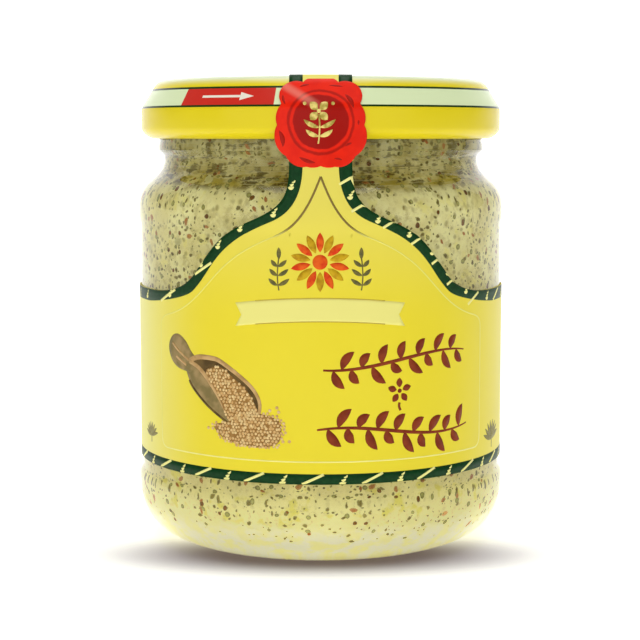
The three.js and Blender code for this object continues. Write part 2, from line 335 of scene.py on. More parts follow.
WALL_RADIUS, WALL_BOTTOM, WALL_TOP = 30.55, 11.5, 58.5
SHOULDER_HOLD = 0.58
INNER_NECK_RADIUS, INNER_NECK_BOTTOM = 26.3, 67.4
RIM_CHAMFER = 0.8


def step_to(start, end, hold=0.5, step=0.4):
    """An S from one upright stretch to the next: a Bezier curve whose ends keep upright for a
    share of the rise."""
    rise = hold * (end[1] - start[1])
    return bezier(start, (start[0], start[1] + rise), (end[0], end[1] - rise), end, step=step)


def round_to(start, end, fullness):
    """A quarter turn from level to upright: a Bezier curve with handles of a share of its run."""
    out = start[0] + fullness * (end[0] - start[0])
    down = end[1] - fullness * (end[1] - start[1])
    return bezier(start, (out, start[1]), (end[0], down), end)


def moved_out(line, margin):
    """A line's points moved square to its run, to the right of it: outwards, as it runs up."""
    along = directions(line)
    return line + margin * np.stack([along[:, 1], -along[:, 0]], -1)


def glass_outside():
    """The jar's outside from the middle of its underside to its rim. Each mould line round the
    neck adds to the radius by a bell curve of the height."""
    band, under, over, neck = SHOULDER_HANDLES
    out, up = math.cos(SHOULDER_PITCH), math.sin(SHOULDER_PITCH)
    bulge = bezier(
        (UPPER_BAND_RADIUS, UPPER_BAND_TOP),
        (UPPER_BAND_RADIUS, UPPER_BAND_TOP + band),
        (SHOULDER_RADIUS + under * out, SHOULDER_HEIGHT - under * up),
        (SHOULDER_RADIUS, SHOULDER_HEIGHT),
    )
    hollow = bezier(
        (SHOULDER_RADIUS, SHOULDER_HEIGHT),
        (SHOULDER_RADIUS - over * out, SHOULDER_HEIGHT + over * up),
        (NECK_RADIUS, NECK_HEIGHT - neck),
        (NECK_RADIUS, NECK_HEIGHT),
        step=FINE_STEP,
    )
    line = line_of(
        bezier((0, PUSH_UP), (PUSH_UP_FLAT * RING_INNER, PUSH_UP), (RING_INNER, RING_LIP[1])),
        bezier((RING_INNER, RING_LIP[1]), (RING_INNER + RING_LIP[0], 0), (RING_INNER + RING_ROUND, 0)),
        round_to((RING_OUTER, 0), (HEEL_RADIUS, HEEL_TOP), HEEL_FULLNESS),
        step_to((HEEL_RADIUS, LOWER_BAND_TOP), (PANEL_RADIUS, PANEL_BOTTOM)),
        step_to((PANEL_RADIUS, PANEL_TOP), (UPPER_BAND_RADIUS, UPPER_BAND_BOTTOM)),
        bulge,
        hollow,
        step_to((NECK_RADIUS, NECK_HEIGHT), (BEAD_RADIUS, BEAD_BOTTOM), step=FINE_STEP),
        (BEAD_RADIUS, BEAD_TOP),
        (FINISH_RADIUS, FINISH_BOTTOM),
        (FINISH_RADIUS, RIM_HEIGHT - FINISH_RADIUS + RIM_RADIUS),
        (RIM_RADIUS, RIM_HEIGHT),
    )
    for height, proud, half in MOULD_LINES:
        line[:, 0] += proud * np.exp(-((line[:, 1] - height) / half) ** 2)
    return line


def glass_inside():
    """The jar's inside from the middle of its floor to the neck."""
    return line_of(
        (0, FLOOR_HEIGHT),
        round_to((FLOOR_RADIUS, FLOOR_HEIGHT), (WALL_RADIUS, WALL_BOTTOM), CORNER_FULLNESS),
        step_to((WALL_RADIUS, WALL_TOP), (INNER_NECK_RADIUS, INNER_NECK_BOTTOM), SHOULDER_HOLD),
    )


def turned(name, line, material):
    """A line of radii and heights turned about the upright axis: x is the radius times the
    angle's sine, y is less its cosine, and points on the axis merge into one."""
    radius, height = line.T
    angle = np.linspace(0, 2 * np.pi, AROUND, endpoint=False)
    x = radius[:, None] * np.sin(angle)
    y = -radius[:, None] * np.cos(angle)
    z = np.broadcast_to(height[:, None], x.shape)
    points = np.stack([x, y, z], -1).reshape(-1, 3)
    piece = new_piece(name, points, grid_faces(len(line), AROUND, closed=True), material)
    merge_points(piece.data, outwards=True)
    return piece


def clear_glass():
    """Clear glass with a faint waviness. Its mirroring is kept low, and lamps shine through it in
    straight lines."""
    material, start = new_material("clear_glass")
    wave = place_in_mm(start).noise(0.12, 1.0)
    inputs = {
        "Base Color": colour(253, 255, 253),
        "Roughness": 0.0,
        "IOR": 1.5,
        "Specular Tint": colour(140, 140, 140),
        "Transmission Weight": 1.0,
        "Normal": wave.bump(0.25, 0.3),
    }
    glass = start.node("BsdfPrincipled", {}, inputs)
    clear = start.node("BsdfTransparent")
    shadow = start.node("LightPath", {}, {}, "Is Shadow Ray")
    both = start.node("MixShader", {}, {0: shadow, 1: glass, 2: clear})
    start.node("OutputMaterial", {}, {"Surface": both})
    return material


def make_glass():
    chamfer = [
        (INNER_NECK_RADIUS, RIM_HEIGHT - RIM_CHAMFER),
        (INNER_NECK_RADIUS + RIM_CHAMFER, RIM_HEIGHT),
    ]
    inside = line_of(glass_inside(), chamfer)
    glass = turned("jar_glass", line_of(glass_outside(), inside[::-1]), clear_glass())
    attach(glass, "root")
    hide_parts("glass_jar")


make_glass()

# Mustard: a pale, moist paste that fills the jar. It reaches just into the glass, so that no air
# shows between them, and it is cloudy with pale, yellow and olive patches.
PASTE_REACH = 0.05
PASTE_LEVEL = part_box("mustard")[1].z / MM - 0.4
PASTE_CROWN = 0.4
# Strength of the paste's painted glow, and the share of its own colour that glows everywhere.
PAINTED_GLOW, PAINTED_GLOW_SHARE = 0.55, 0.2


def paste_line():
    """The glass's inside, moved a little way into the wall, up to the level under the lid."""
    wall = line_of(glass_inside(), (INNER_NECK_RADIUS, PASTE_LEVEL))
    return moved_out(wall, PASTE_REACH)


def mustard_paste():
    """Cloudy paste, grainier and more olive towards the neck, where it is also painted darker as a
    painted shade under the lid, with pale streaks that are painted highlights. All of it has a
    faint painted glow, and its foot is painted pale and glows more: painted light at the jar's
    base."""
    material, start = new_material("mustard_paste")
    place = place_in_mm(start)
    cloud = place.noise(0.16, 3.0, 0.55)
    patch = place.noise(0.35, 2.0, 0.6)
    olive = place.noise(0.22, 3.0, 0.6, (1, 1, 1.6))
    height = place.axis("Z")
    low = cloud.rise(0.38, 0.62).mix((248, 238, 160), (252, 245, 170))
    mid = cloud.rise(0.38, 0.62).mix((222, 212, 142), (236, 230, 166))
    base = height.rise(20, 44).mix(low, mid)
    lush = 0.75 - height.rise(16, 40) * 0.5
    base = (patch.rise(0.53, 0.66) * lush).mix(base, (236, 226, 92))
    murk = place.noise(0.55, 3.0, 0.65).rise(0.5, 0.68) * height.rise(16, 26)
    base = (murk * 0.38).mix(base, (160, 142, 70))
    # Painted shade: a brownish band just under the label's lower edge.
    under = height.within(10.5, 17, 5) * cloud.rise(0.3, 0.6)
    base = (under * 0.4).mix(base, (190, 168, 96))
    # Towards the neck the paste is painted darker olive: partly its own oily olive, partly painted
    # shade under the lid. Dark clumps lie in it, and its pale horizontal streaks are painted
    # highlights.
    high = height.rise(62.2, 63.4) - height.rise(64.5, 67) * 0.25
    base = ((olive.rise(0.36, 0.62) * 0.55 + 0.3) * high).mix(base, (156, 134, 24))
    clump = place.noise(0.42, 3.0, 0.6, (1, 1, 1.5))
    base = (clump.rise(0.52, 0.6) * high * 0.85).mix(base, (66, 50, 6))
    painted_streak_highlight = place.noise(0.5, 2.0, 0.5, (0.3, 0.3, 6))
    base = (painted_streak_highlight.rise(0.54, 0.62) * high * 0.4).mix(base, (206, 198, 146))
    # Painted light at the foot: the paste is painted paler towards the bottom of the jar, and glows
    # there.
    foot = 1 - height.rise(3.5, 8.5)
    pale = patch.rise(0.38, 0.6)
    base = (foot * 0.9).mix(base, pale.mix((253, 246, 190), (253, 251, 232)))
    cell = {"Vector": place, "Scale": 0.72}
    near = start.node("TexVoronoi", {}, cell, "Distance")
    chance = start.node("TexVoronoi", {}, cell, "Color").axis("X")
    speck = (1 - near.rise(0.12, 0.42)) * chance.rise(0.35, 0.6)
    few = height.rise(20, 58) * 0.35 + height.rise(62, 66) * 0.35 + 0.15
    base = (speck * few).mix(base, (122, 106, 46))
    grain = place.noise(1.6, 4.0, 0.7)
    base = (grain.rise(0.52, 0.72) * 0.35).mix(base, (176, 162, 92))
    # Painted glow: all of the paste glows faintly in its own colour, and its foot glows more, in pale
    # yellow.
    faint = start.node("VectorMath", {"operation": "SCALE"}, {0: base, "Scale": PAINTED_GLOW_SHARE})
    painted_foot_glow = pale.mix((244, 236, 146), (236, 234, 194))
    return finished(material, start, {
        "Base Color": base,
        "Roughness": 0.45,
        "Specular IOR Level": 0.1,
        "Emission Color": foot.mix(faint, painted_foot_glow),
        "Emission Strength": PAINTED_GLOW,
        "Normal": grain.bump(0.3, 0.2),
    })


def make_paste():
    top = (0, PASTE_LEVEL + PASTE_CROWN)
    paste = turned("mustard_paste", line_of(paste_line(), top), mustard_paste())
    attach(paste, "root")
    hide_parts("mustard")


make_paste()

# Lid: pressed from printed and lacquered tinplate, with a rolled lower edge, an upright side, a
# coned shoulder and a shallow panel with a round button. It is twisted onto the glass.
LID_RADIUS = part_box("lid")[1].x / MM
LID_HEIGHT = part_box("lid")[1].z / MM
LID_SKIN = 0.4
CURL_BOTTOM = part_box("lid")[0].z / MM
CURL_INNER, CURL_TOP, CURL_FULLNESS, CURL_HOLLOW = 29.8, 73.9, 0.42, 1.1
SIDE_TOP = 77.3
CONE_TOP_RADIUS, CONE_TOP = 30.16, 81.0
TOP_RING_OUTER, TOP_RING_INNER = 27.7, 25.6
TOP_PANEL_RADIUS, TOP_PANEL_HEIGHT = 24.0, 81.8
BUTTON_RADIUS, BUTTON_SLOPE, BUTTON_DROP = 8.5, 1.6, 0.35
BEND_RADIUS = 0.5
LID_LINES = (77.43, 80.5)
LID_LINE_WIDTH = 0.34
RED_FIELD = (-47.0, -13.8)
ARROW_SHAFT, ARROW_HEAD, ARROW_HEIGHT = (-39.0, -25.0), 4.5, 79.0
ARROW_HALF, ARROW_SPREAD = 0.19, 0.15


def rounded(corners, reach):
    """A line whose corners are rounded by Bezier curves that start and end at a reach from
    them, or half way to the next corner if that is nearer."""
    corners = np.array(corners, float)
    stretches = [corners[:1]]
    for before, here, after in zip(corners, corners[1:], corners[2:]):
        back, on = before - here, after - here
        back *= min(reach / np.linalg.norm(back), 0.5)
        on *= min(reach / np.linalg.norm(on), 0.5)
        stretches.append(bezier(here + back, here, here + on, step=0.1))
    return line_of(*stretches, corners[-1:])


def cone_radius(height):
    """Radius that the lid's cone, carried on upwards, would reach at a height."""
    narrowing = (LID_RADIUS - CONE_TOP_RADIUS) / (CONE_TOP - SIDE_TOP)
    return CONE_TOP_RADIUS - narrowing * (height - CONE_TOP)


def lid_line():
    """The lid's outside from its rolled edge to its middle, then back along the inside."""
    curl_start = (CURL_INNER + 0.5 * LID_SKIN, CURL_BOTTOM)
    side = rounded([
        (LID_RADIUS, CURL_TOP),
        (LID_RADIUS, SIDE_TOP),
        (CONE_TOP_RADIUS, CONE_TOP),
    ], BEND_RADIUS)
    edge = bezier(
        (CONE_TOP_RADIUS, CONE_TOP),
        (cone_radius(LID_HEIGHT), LID_HEIGHT),
        (TOP_RING_OUTER, LID_HEIGHT),
    )
    top = rounded([
        (TOP_RING_OUTER, LID_HEIGHT),
        (TOP_RING_INNER, LID_HEIGHT),
        (TOP_PANEL_RADIUS, TOP_PANEL_HEIGHT),
        (BUTTON_RADIUS, TOP_PANEL_HEIGHT),
        (BUTTON_RADIUS - BUTTON_SLOPE, TOP_PANEL_HEIGHT - BUTTON_DROP),
        (0, TOP_PANEL_HEIGHT - BUTTON_DROP),
    ], BEND_RADIUS)
    curl = round_to(curl_start, (LID_RADIUS, CURL_TOP), CURL_FULLNESS)
    outside = line_of(curl, side, edge, top)
    lip = CURL_TOP + LID_SKIN
    inside = moved_out(outside, -LID_SKIN)
    inside = inside[inside[:, 1] > lip][::-1]
    curl_back = rounded([
        (LID_RADIUS - LID_SKIN, CURL_TOP + CURL_HOLLOW),
        (CURL_INNER + 2 * LID_SKIN, lip - 0.5 * LID_SKIN),
        (CURL_INNER, CURL_TOP - 2 * LID_SKIN),
        (CURL_INNER, CURL_BOTTOM + 0.5 * LID_SKIN),
        curl_start,
    ], BEND_RADIUS)
    return line_of(outside, inside, curl_back)


def printed_lid():
    """Yellow lacquer, with a pale band between two thin lines on the cone and a red field with an
    arrow on the band. From the rounded edge inwards the lid is painted pale mint: a painted
    highlight along the crest, carried over the whole top. A place is an azimuth from the
    front, in degrees, and a height."""
    material, start = new_material("printed_lid")
    place = place_in_mm(start)
    x, y, height = (place.axis(name) for name in "XYZ")
    azimuth = start.math("ARCTAN2", x, 0 - y) * math.degrees(1)
    radius = start.math("POWER", x * x + y * y, 0.5)
    outer = radius.rise(26, 27)
    low, high = LID_LINES
    half = LID_LINE_WIDTH / 2
    band = height.within(low, high, 0.05) * outer
    lines = height.within(low - half, low + half, 0.06)
    lines = (lines + height.within(high - half, high + half, 0.06)) * outer
    red = azimuth.within(*RED_FIELD, 0.15) * band
    cloud = place.noise(0.08, 2.0)
    yellow = cloud.mix((228, 207, 22), (233, 213, 34))
    base = band.mix(yellow, (221, 235, 186))
    base = red.mix(base, (206, 46, 34))
    base = lines.mix(base, (26, 56, 18))
    off_middle = start.math("ABSOLUTE", height - ARROW_HEIGHT)
    thin = 1 - off_middle.rise(ARROW_HALF - 0.03, ARROW_HALF + 0.03)
    shaft = azimuth.within(*ARROW_SHAFT, 0.2) * thin
    tip = ARROW_SHAFT[1] + ARROW_HEAD
    head = 1 - (off_middle - (tip - azimuth) * ARROW_SPREAD).rise(-0.03, 0.03)
    head = head * azimuth.within(ARROW_SHAFT[1], tip, 0.1)
    base = start.math("MAXIMUM", shaft, head).mix(base, (238, 232, 214))
    # Painted highlight: pale mint from the rounded edge inwards.
    base = (1 - radius.rise(28.9, 30.3)).mix(base, (226, 236, 200))
    return finished(material, start, {
        "Base Color": base,
        "Roughness": 0.22,
        "Specular IOR Level": 0.18,
        "Normal": place.noise(0.5, 2.0).bump(0.1, 0.05),
    })


def make_lid():
    lid = turned("lid_tinplate", lid_line(), printed_lid())
    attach(lid, "root")
    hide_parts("lid")


make_lid()

# Label: one die-cut sheet of coated paper, glued round the panel. Its bell-shaped front narrows
# to a strip that is stuck across the neck, up the lid's side and over onto its top. A place on
# it is a side, round the jar from the middle of the front, and a height along the sheet. The
# seal's lobes are circles on both sides of the strip: a side, a height and a radius.
LABEL_THICKNESS, LABEL_GAP, LID_GAP = 0.15, 0.15, 0.04
LABEL_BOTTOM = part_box("label")[0].z / MM
SIDE_EDGE = 45.8
STRIP_HALF, STRIP_START = 5.2, 68.0
BACK_GAP = 3.0
LID_RUN = 6.0
BELL_CURVES = (
    ((STRIP_HALF, STRIP_START), (STRIP_HALF, 62.6), (6.2, 60.9), (11.75, 58.65)),
    ((11.75, 58.65), (17.0, 56.5), (18.0, 55.3), (23.2, 49.2)),
    ((23.2, 49.2), (25.8, 46.5), (29.5, SIDE_EDGE), (37.0, SIDE_EDGE)),
)
SEAL_LOBES = (
    (0, 75.2, 7.0),
    (2.9, 70.5, 3.1),
    (3.9, 72.5, 3.75),
    (4.3, 75.4, 3.1),
    (4.0, 79.2, 2.85),
    (0, 79.4, 3.8),
)
PAPER_BEND = 0.8
LINE_STEP, SHEET_STEP, SIDE_STEP, STRIP_STEP = 0.05, 0.4, 1.0, 0.12
STRIP_COLUMNS, BELL_ROWS = 25, 101
STRIP_BARE = 84.4
BACK_START = 74.0
PLACE_UNIT = 100


def points_at(line, places):
    """Points of a line at given distances along it."""
    return np.stack([np.interp(places, measured(line), part) for part in line.T], -1)


def label_line():
    """The sheet's under face in radius and height, evenly stepped along its length: up the
    panel, over the upper band, straight to the lid, and up its side and cone onto its top."""
    around = PANEL_RADIUS + LABEL_GAP
    band = UPPER_BAND_RADIUS + LABEL_GAP
    side = LID_RADIUS + LID_GAP
    top = LID_HEIGHT + LID_GAP
    edge = bezier(
        (CONE_TOP_RADIUS + LID_GAP, CONE_TOP + 0.5 * LID_GAP),
        (cone_radius(LID_HEIGHT) + LID_GAP, top),
        (TOP_RING_OUTER, top),
    )
    line = line_of(
        rounded([
            (around, LABEL_BOTTOM),
            (around, PANEL_TOP),
            (band, UPPER_BAND_BOTTOM),
            (band, UPPER_BAND_TOP),
            (side, CURL_TOP),
            (side, SIDE_TOP + 0.5 * LID_GAP),
            (CONE_TOP_RADIUS + LID_GAP, CONE_TOP + 0.5 * LID_GAP),
        ], PAPER_BEND),
        edge,
        rounded([
            (TOP_RING_OUTER, top),
            (TOP_RING_INNER, top),
            (TOP_PANEL_RADIUS - LID_GAP, TOP_PANEL_HEIGHT + LID_GAP),
            (TOP_PANEL_RADIUS - LID_RUN, TOP_PANEL_HEIGHT + LID_GAP),
        ], PAPER_BEND),
    )
    return points_at(line, np.arange(0, measured(line)[-1], LINE_STEP))


LABEL_LINE = label_line()
LABEL_RUN = LABEL_BOTTOM + LINE_STEP * np.arange(len(LABEL_LINE))
LABEL_END = LABEL_RUN[-1]
LABEL_AROUND = PANEL_RADIUS + LABEL_GAP
LABEL_REACH = math.pi * LABEL_AROUND - BACK_GAP / 2


def raised(line, runs, run, lift):
    """Radius and height at a run along a line, moved out from the line by a lift, square to it."""
    parts = (*line.T, *directions(line).T)
    radius, height, outward, upward = (np.interp(run, runs, part) for part in parts)
    return radius + lift * upward, height - lift * outward


def on_label(side, height, lift):
    """Places on the sheet as points. Up to the panel's top the angle round the jar is the side
    over the radius; above it the sheet keeps its width, so x stays what it was there. The lift
    is out from the sheet's under face, square to it."""
    r, z = raised(LABEL_LINE, LABEL_RUN, height, lift)
    angle = side / LABEL_AROUND
    x = LABEL_AROUND * np.sin(angle)
    round_jar = np.stack([r * np.sin(angle), -r * np.cos(angle), z], -1)
    straight = np.stack([x, -np.sqrt(np.maximum(r * r - x * x, 0)), z], -1)
    return np.where((height <= PANEL_TOP)[..., None], round_jar, straight)


def seal_half(height):
    """The strip's half width at a height: its own, or the seal's lobes where those are wider."""
    half = np.full(np.shape(height), STRIP_HALF)
    for offset, middle, radius in SEAL_LOBES:
        reach = np.sqrt(np.maximum(radius**2 - (height - middle) ** 2, 0))
        half = np.where(reach > 0, np.maximum(half, offset + reach), half)
    return half


def sheet_grids():
    """The label as two grids of sides and heights that share an edge: the bell, whose columns
    run from the bottom to the outline, and the strip, whose rows are as wide as the seal."""
    bell = line_of(*(bezier(*corners, step=SHEET_STEP) for corners in BELL_CURVES))
    wrap = np.arange(BELL_CURVES[-1][-1][0], LABEL_REACH, SIDE_STEP)
    level = np.stack([wrap, np.full(len(wrap), SIDE_EDGE)], -1)
    right = line_of(bell, level, (LABEL_REACH, SIDE_EDGE))
    across = np.linspace(-STRIP_HALF, STRIP_HALF, STRIP_COLUMNS)
    side = np.concatenate([-right[:0:-1, 0], across, right[1:, 0]])
    strip_top = np.full(len(across), STRIP_START)
    top = np.concatenate([right[:0:-1, 1], strip_top, right[1:, 1]])
    share = np.linspace(0, 1, BELL_ROWS)[:, None]
    height = LABEL_BOTTOM + share * (top - LABEL_BOTTOM)
    bell_grid = np.stack([np.broadcast_to(side, height.shape), height], -1)
    count = round((LABEL_END - STRIP_START) / STRIP_STEP)
    rows = np.linspace(STRIP_START, LABEL_END, count)[:, None]
    half = seal_half(rows)
    half[0] = STRIP_HALF
    width = across / STRIP_HALF * half
    strip_grid = np.stack([width, np.broadcast_to(rows, width.shape)], -1)
    return [bell_grid, strip_grid]


def sheet_piece(name, grids, lift, thickness, material):
    """Grids of label places as one closed sheet, with the places kept as a UV map. A grid that
    runs the other way is turned over. The lift is of the outer face, and the sheet's thickness
    lies below that."""
    places, faces, count = [], [], 0
    for grid in grids:
        rows, columns = grid.shape[:2]
        near = grid_faces(rows, columns) + count
        rising, falling = grid[1:, 1:] - grid[:-1, :-1], grid[1:, :-1] - grid[:-1, 1:]
        area = rising[..., 0] * falling[..., 1] - rising[..., 1] * falling[..., 0]
        turned_over = area.sum() < 0
        faces.append(near[:, ::-1] if turned_over else near)
        places.append(grid.reshape(-1, 2))
        count += rows * columns
    places = np.concatenate(places)
    faces = np.concatenate(faces)
    piece = new_piece(name, on_label(*places.T, lift), faces, material)
    layer = piece.data.uv_layers.new(name="place")
    corners = np.empty(len(piece.data.loops), np.int32)
    piece.data.loops.foreach_get("vertex_index", corners)
    layer.data.foreach_set("uv", (places[corners] / PLACE_UNIT).ravel())
    merge_points(piece.data, outwards=False)
    wall = piece.modifiers.new("thickness", "SOLIDIFY")
    wall.thickness = thickness * MM
    wall.offset = -1
    return piece


def place_on_label(start):
    """The side and the height of a point of the label, in millimetres."""
    place = start.node("UVMap", {"uv_map": "place"})
    return place.axis("X") * PLACE_UNIT, place.axis("Y") * PLACE_UNIT


def label_paper():
    """Yellow print on cream paper, paler towards the strip; a painted sheen pales it towards the
    sides, more on the left. The strip's end on the lid's top and the back of the label are bare,
    and the seal's cut edge is red."""
    material, start = new_material("label_paper")
    side, height = place_on_label(start)
    place = place_in_mm(start)
    cloud = place.noise(0.05, 2.0)
    yellow = cloud.mix((237, 217, 30), (238, 221, 50))
    yellow = (height.rise(40, 66) * 0.75).mix(yellow, (233, 220, 104))
    apart = start.math("ABSOLUTE", side)
    # Painted sheen: the yellow is paled towards both sides, more on the left.
    painted_side_sheen = apart.rise(20, 46) * 0.36 + (0 - side).rise(18, 42) * 0.52
    yellow = painted_side_sheen.mix(yellow, (236, 230, 132))
    bare = height.rise(STRIP_BARE - 0.2, STRIP_BARE) + apart.rise(BACK_START, BACK_START + 0.3)
    yellow = start.math("MINIMUM", bare, 1.0).mix(yellow, (243, 239, 208))
    fringe = apart.rise(STRIP_HALF + 0.1, STRIP_HALF + 0.2) * height.rise(67.0, 67.1)
    yellow = fringe.mix(yellow, (214, 66, 40))
    return finished(material, start, {
        "Base Color": yellow,
        "Roughness": 0.42,
        "Specular IOR Level": 0.25,
        "Normal": place.noise(2.5, 3.0).bump(0.15, 0.03),
    })


def make_label():
    sheet = sheet_piece(
        "label_sheet", sheet_grids(), LABEL_THICKNESS, LABEL_THICKNESS, label_paper()
    )
    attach(sheet, "root")
    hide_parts("label")


make_label()

# Printing inks: each is a film on the paper, in the colour of its plate, with crisp edges. Shapes
# are worked out flat, in label places, as patches of points, and then laid on the sheet's curve.
INK_THICKNESS = 0.02
INK_STEP = 0.012
RING_STEPS = 6


def evenly(line, count):
    """A line's course at a number of evenly spaced points."""
    line = np.array(line, float)
    return points_at(line, np.linspace(0, measured(line)[-1], count))


def between(first, second, steps=3):
    """A patch from one line of points to another of as many: their mixture, row by row."""
    share = np.linspace(0, 1, steps)[:, None, None]
    return (1 - share) * first + share * second


def stroke(line, width):
    """A patch along a line: each point moved half the width to either side of the run."""
    line = np.array(line, float)
    along = directions(line)
    aside = np.stack([-along[:, 1], along[:, 0]], -1) * np.reshape(width, (-1, 1)) / 2
    return between(line - aside, line + aside)


def leaf(base, tip, width, bend=0.0):
    """A pointed leaf: a stroke whose width is a power of the half wave from its base to its
    tip, and whose line bows to the left by a bend."""
    base, tip = np.array(base, float), np.array(tip, float)
    t = np.linspace(0, 1, 9)[:, None]
    wave = np.sin(np.pi * t)
    run = tip - base
    left = np.array([-run[1], run[0]]) / np.linalg.norm(run)
    return stroke(base + t * run + bend * wave * left, 0.02 + width * wave**0.8)


def leaves_round(middle, turns, inner, outer, width, bend=0.0):
    """Leaves that point away from a middle at the given turns, from an inner reach to an outer."""
    rays = np.stack([np.cos(turns), np.sin(turns)], -1)
    return [leaf(middle + inner * ray, middle + outer * ray, width, bend) for ray in rays]


def fill(outline, apart=0.8):
    """A patch inside a closed outline, which every ray from its middle meets once: the outline
    shrunk towards its middle in even steps, no further apart than is asked."""
    outline = np.array(outline, float)
    closed = np.concatenate([outline, outline[:1]])
    middle = outline.mean(0)
    reach = np.linalg.norm(outline - middle, axis=1).max()
    share = np.linspace(0, 1, math.ceil(reach / apart) + 1)[:, None, None]
    return middle + share * (closed - middle)


def disc(middle, radius, corners=14):
    """A round patch with a number of corners."""
    turn = np.linspace(0, 2 * np.pi, corners, endpoint=False)
    return fill(np.array(middle) + radius * np.stack([np.cos(turn), np.sin(turn)], -1))


def smooth_ring(corners):
    """A closed Catmull-Rom curve through corners: it leaves each one in the direction of the
    line between its neighbours."""
    corners = np.array(corners, float)
    before, after, beyond = (np.roll(corners, shift, 0) for shift in (1, -1, -2))
    t = np.linspace(0, 1, RING_STEPS, endpoint=False)[:, None, None]
    curve = corners + 0.5 * t * (after - before)
    curve = curve + t**2 * (before - 2.5 * corners + 2 * after - 0.5 * beyond)
    curve = curve + 0.5 * t**3 * (3 * (corners - after) + beyond - before)
    return curve.transpose(1, 0, 2).reshape(-1, 2)


def smooth_line(corners, count):
    """An even course of an open Catmull-Rom curve, carried past each end by a step like its
    last one."""
    corners = np.array(corners, float)
    first, last = 2 * corners[0] - corners[1], 2 * corners[-1] - corners[-2]
    ring = smooth_ring(np.concatenate([[first], corners, [last]]))
    return evenly(ring[RING_STEPS:RING_STEPS * len(corners) + 1], count)


def ink(name, first, second=None, scale=1.5):
    """A satin printing ink of one colour, clouded with a second where one is given."""
    material, start = new_material(name)
    tint = colour(*first)
    if second:
        tint = place_in_mm(start).noise(scale, 2.0).rise(0.35, 0.65).mix(first, second)
    return finished(material, start, {"Base Color": tint, "Roughness": 0.4, "Specular IOR Level": 0.12})


def print_piece(name, patches, layer, material):
    """One plate's patches on the paper, as one piece. Each layer lies over those before it."""
    lift = LABEL_THICKNESS + layer * INK_STEP
    piece = sheet_piece(name, patches, lift, INK_THICKNESS, material)
    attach(piece, "root")


def mirrored(patches):
    """Patches with their mirror images across the middle of the front."""
    return patches + [patch * (-1, 1) for patch in patches]


# Border: a dark green band inside the label's edge, from the strip's end round the bell and the
# sides, and another along the bottom. Cream bars and sprays of three little leaves repeat along
# it. A bar or spray is named by the side and height of its middle.
INNER_HALF = 2.95
INNER_SIDE_EDGE = 43.7
INNER_CURVES = (
    ((INNER_HALF, STRIP_START), (INNER_HALF, 60.44), (6.98, 59.04), (8.99, 58.22)),
    ((8.99, 58.22), (19.2, 54.03), (19.03, 49.93), (23.54, 46.41)),
    ((23.54, 46.41), (25.61, 44.79), (35.26, INNER_SIDE_EDGE), (39.0, INNER_SIDE_EDGE)),
)
BOTTOM_INNER = 16.57
BAR_SLANT = math.radians(30)
BAR_WIDTH = 0.44
BELL_BARS = (
    (4.2, 65.3), (6.2, 60.85), (11.6, 58.16), (16.7, 55.3), (20.8, 51.85), (24.2, 48.2),
)
LEFT_BARS = (((-22.9, 49.3), (-19.3, 51.4)), ((-32.6, 44.1), (-28.0, 46.4)))
SIDE_BARS = (30.2, 39.9)
BELL_BAR_HALF, SIDE_BAR_HALF, SIDE_PITCH = 1.35, 1.9, 9.7
RIGHT_SPRAYS = (
    (4.9, 63.1), (9.6, 59.2), (15.2, 56.7), (19.8, 53.6), (23.3, 50.0), (28.0, 46.6),
    (35.2, 45.0),
)
LEFT_SPRAYS = (
    (-4.8, 64.7), (-7.8, 60.2), (-13.7, 57.7), (-17.9, 54.7), (-21.5, 51.5), (-29.6, 45.9),
    (-38.7, 45.0),
)
FOOT_PITCH, FOOT_START = 10.05, -1.3
FOOT_SLANT = 3.6
SPRAY_SIZE, FOOT_SPRAY_SIZE, SPRAY_SHIFT = 0.8, 0.92, (0.1, 0.15)
END_ROOM = 2
GREEN_COUNTS = (90, 36, 50, 36, 90)
FOOT_COUNT = 260
BORDER_MARGIN = 0.05
SPRAY_LEAVES = (
    ((-0.6, -0.5), (0.65, -0.38), 0.78),
    ((-0.25, 0.02), (0.6, 0.3), 0.46),
    ((0.2, 0.52), (0.9, 0.97), 0.34),
)


def border_lines():
    """The border's outer and inner lines on the right, as points that face one another."""
    outer = [[(STRIP_HALF, STRIP_BARE), (STRIP_HALF, STRIP_START)], *BELL_CURVES]
    inner = [[(INNER_HALF, STRIP_BARE), (INNER_HALF, STRIP_START)], *INNER_CURVES]
    outer.append([BELL_CURVES[-1][-1], (LABEL_REACH, SIDE_EDGE)])
    inner.append([INNER_CURVES[-1][-1], (LABEL_REACH, INNER_SIDE_EDGE)])
    lines = []
    for stretches in (outer, inner):
        curves = [s if len(s) == 2 else bezier(*s, step=LINE_STEP) for s in stretches]
        parts = [evenly(curve, count)[:-1] for curve, count in zip(curves, GREEN_COUNTS)]
        lines.append(np.concatenate([*parts, curves[-1][-1:]]))
    return lines


def spray(middle, size):
    """Three little leaves over one another, each smaller than the one below it."""
    middle = np.array(middle)
    return [
        leaf(middle + size * np.array(base), middle + size * np.array(tip), width * size, -0.2 * size)
        for base, tip, width in SPRAY_LEAVES
    ]


def bar(middle, half, count):
    """A slanting bar from its middle and the half of its run."""
    return stroke(evenly([middle - half, middle + half], count), BAR_WIDTH)


def bell_top(side, middle):
    """The height of the bell's outline over a side, or within the strip the height given."""
    bell = line_of(*(bezier(*corners) for corners in BELL_CURVES))
    return np.interp(np.abs(side), bell[:, 0], bell[:, 1], left=middle)


def on_paper(patch):
    """A patch trimmed just inside the label's outline and its lower edge."""
    side, height = patch[..., 0], patch[..., 1]
    low, high = LABEL_BOTTOM + BORDER_MARGIN, bell_top(side, LABEL_END) - BORDER_MARGIN
    return np.stack([side, np.clip(height, low, high)], -1)


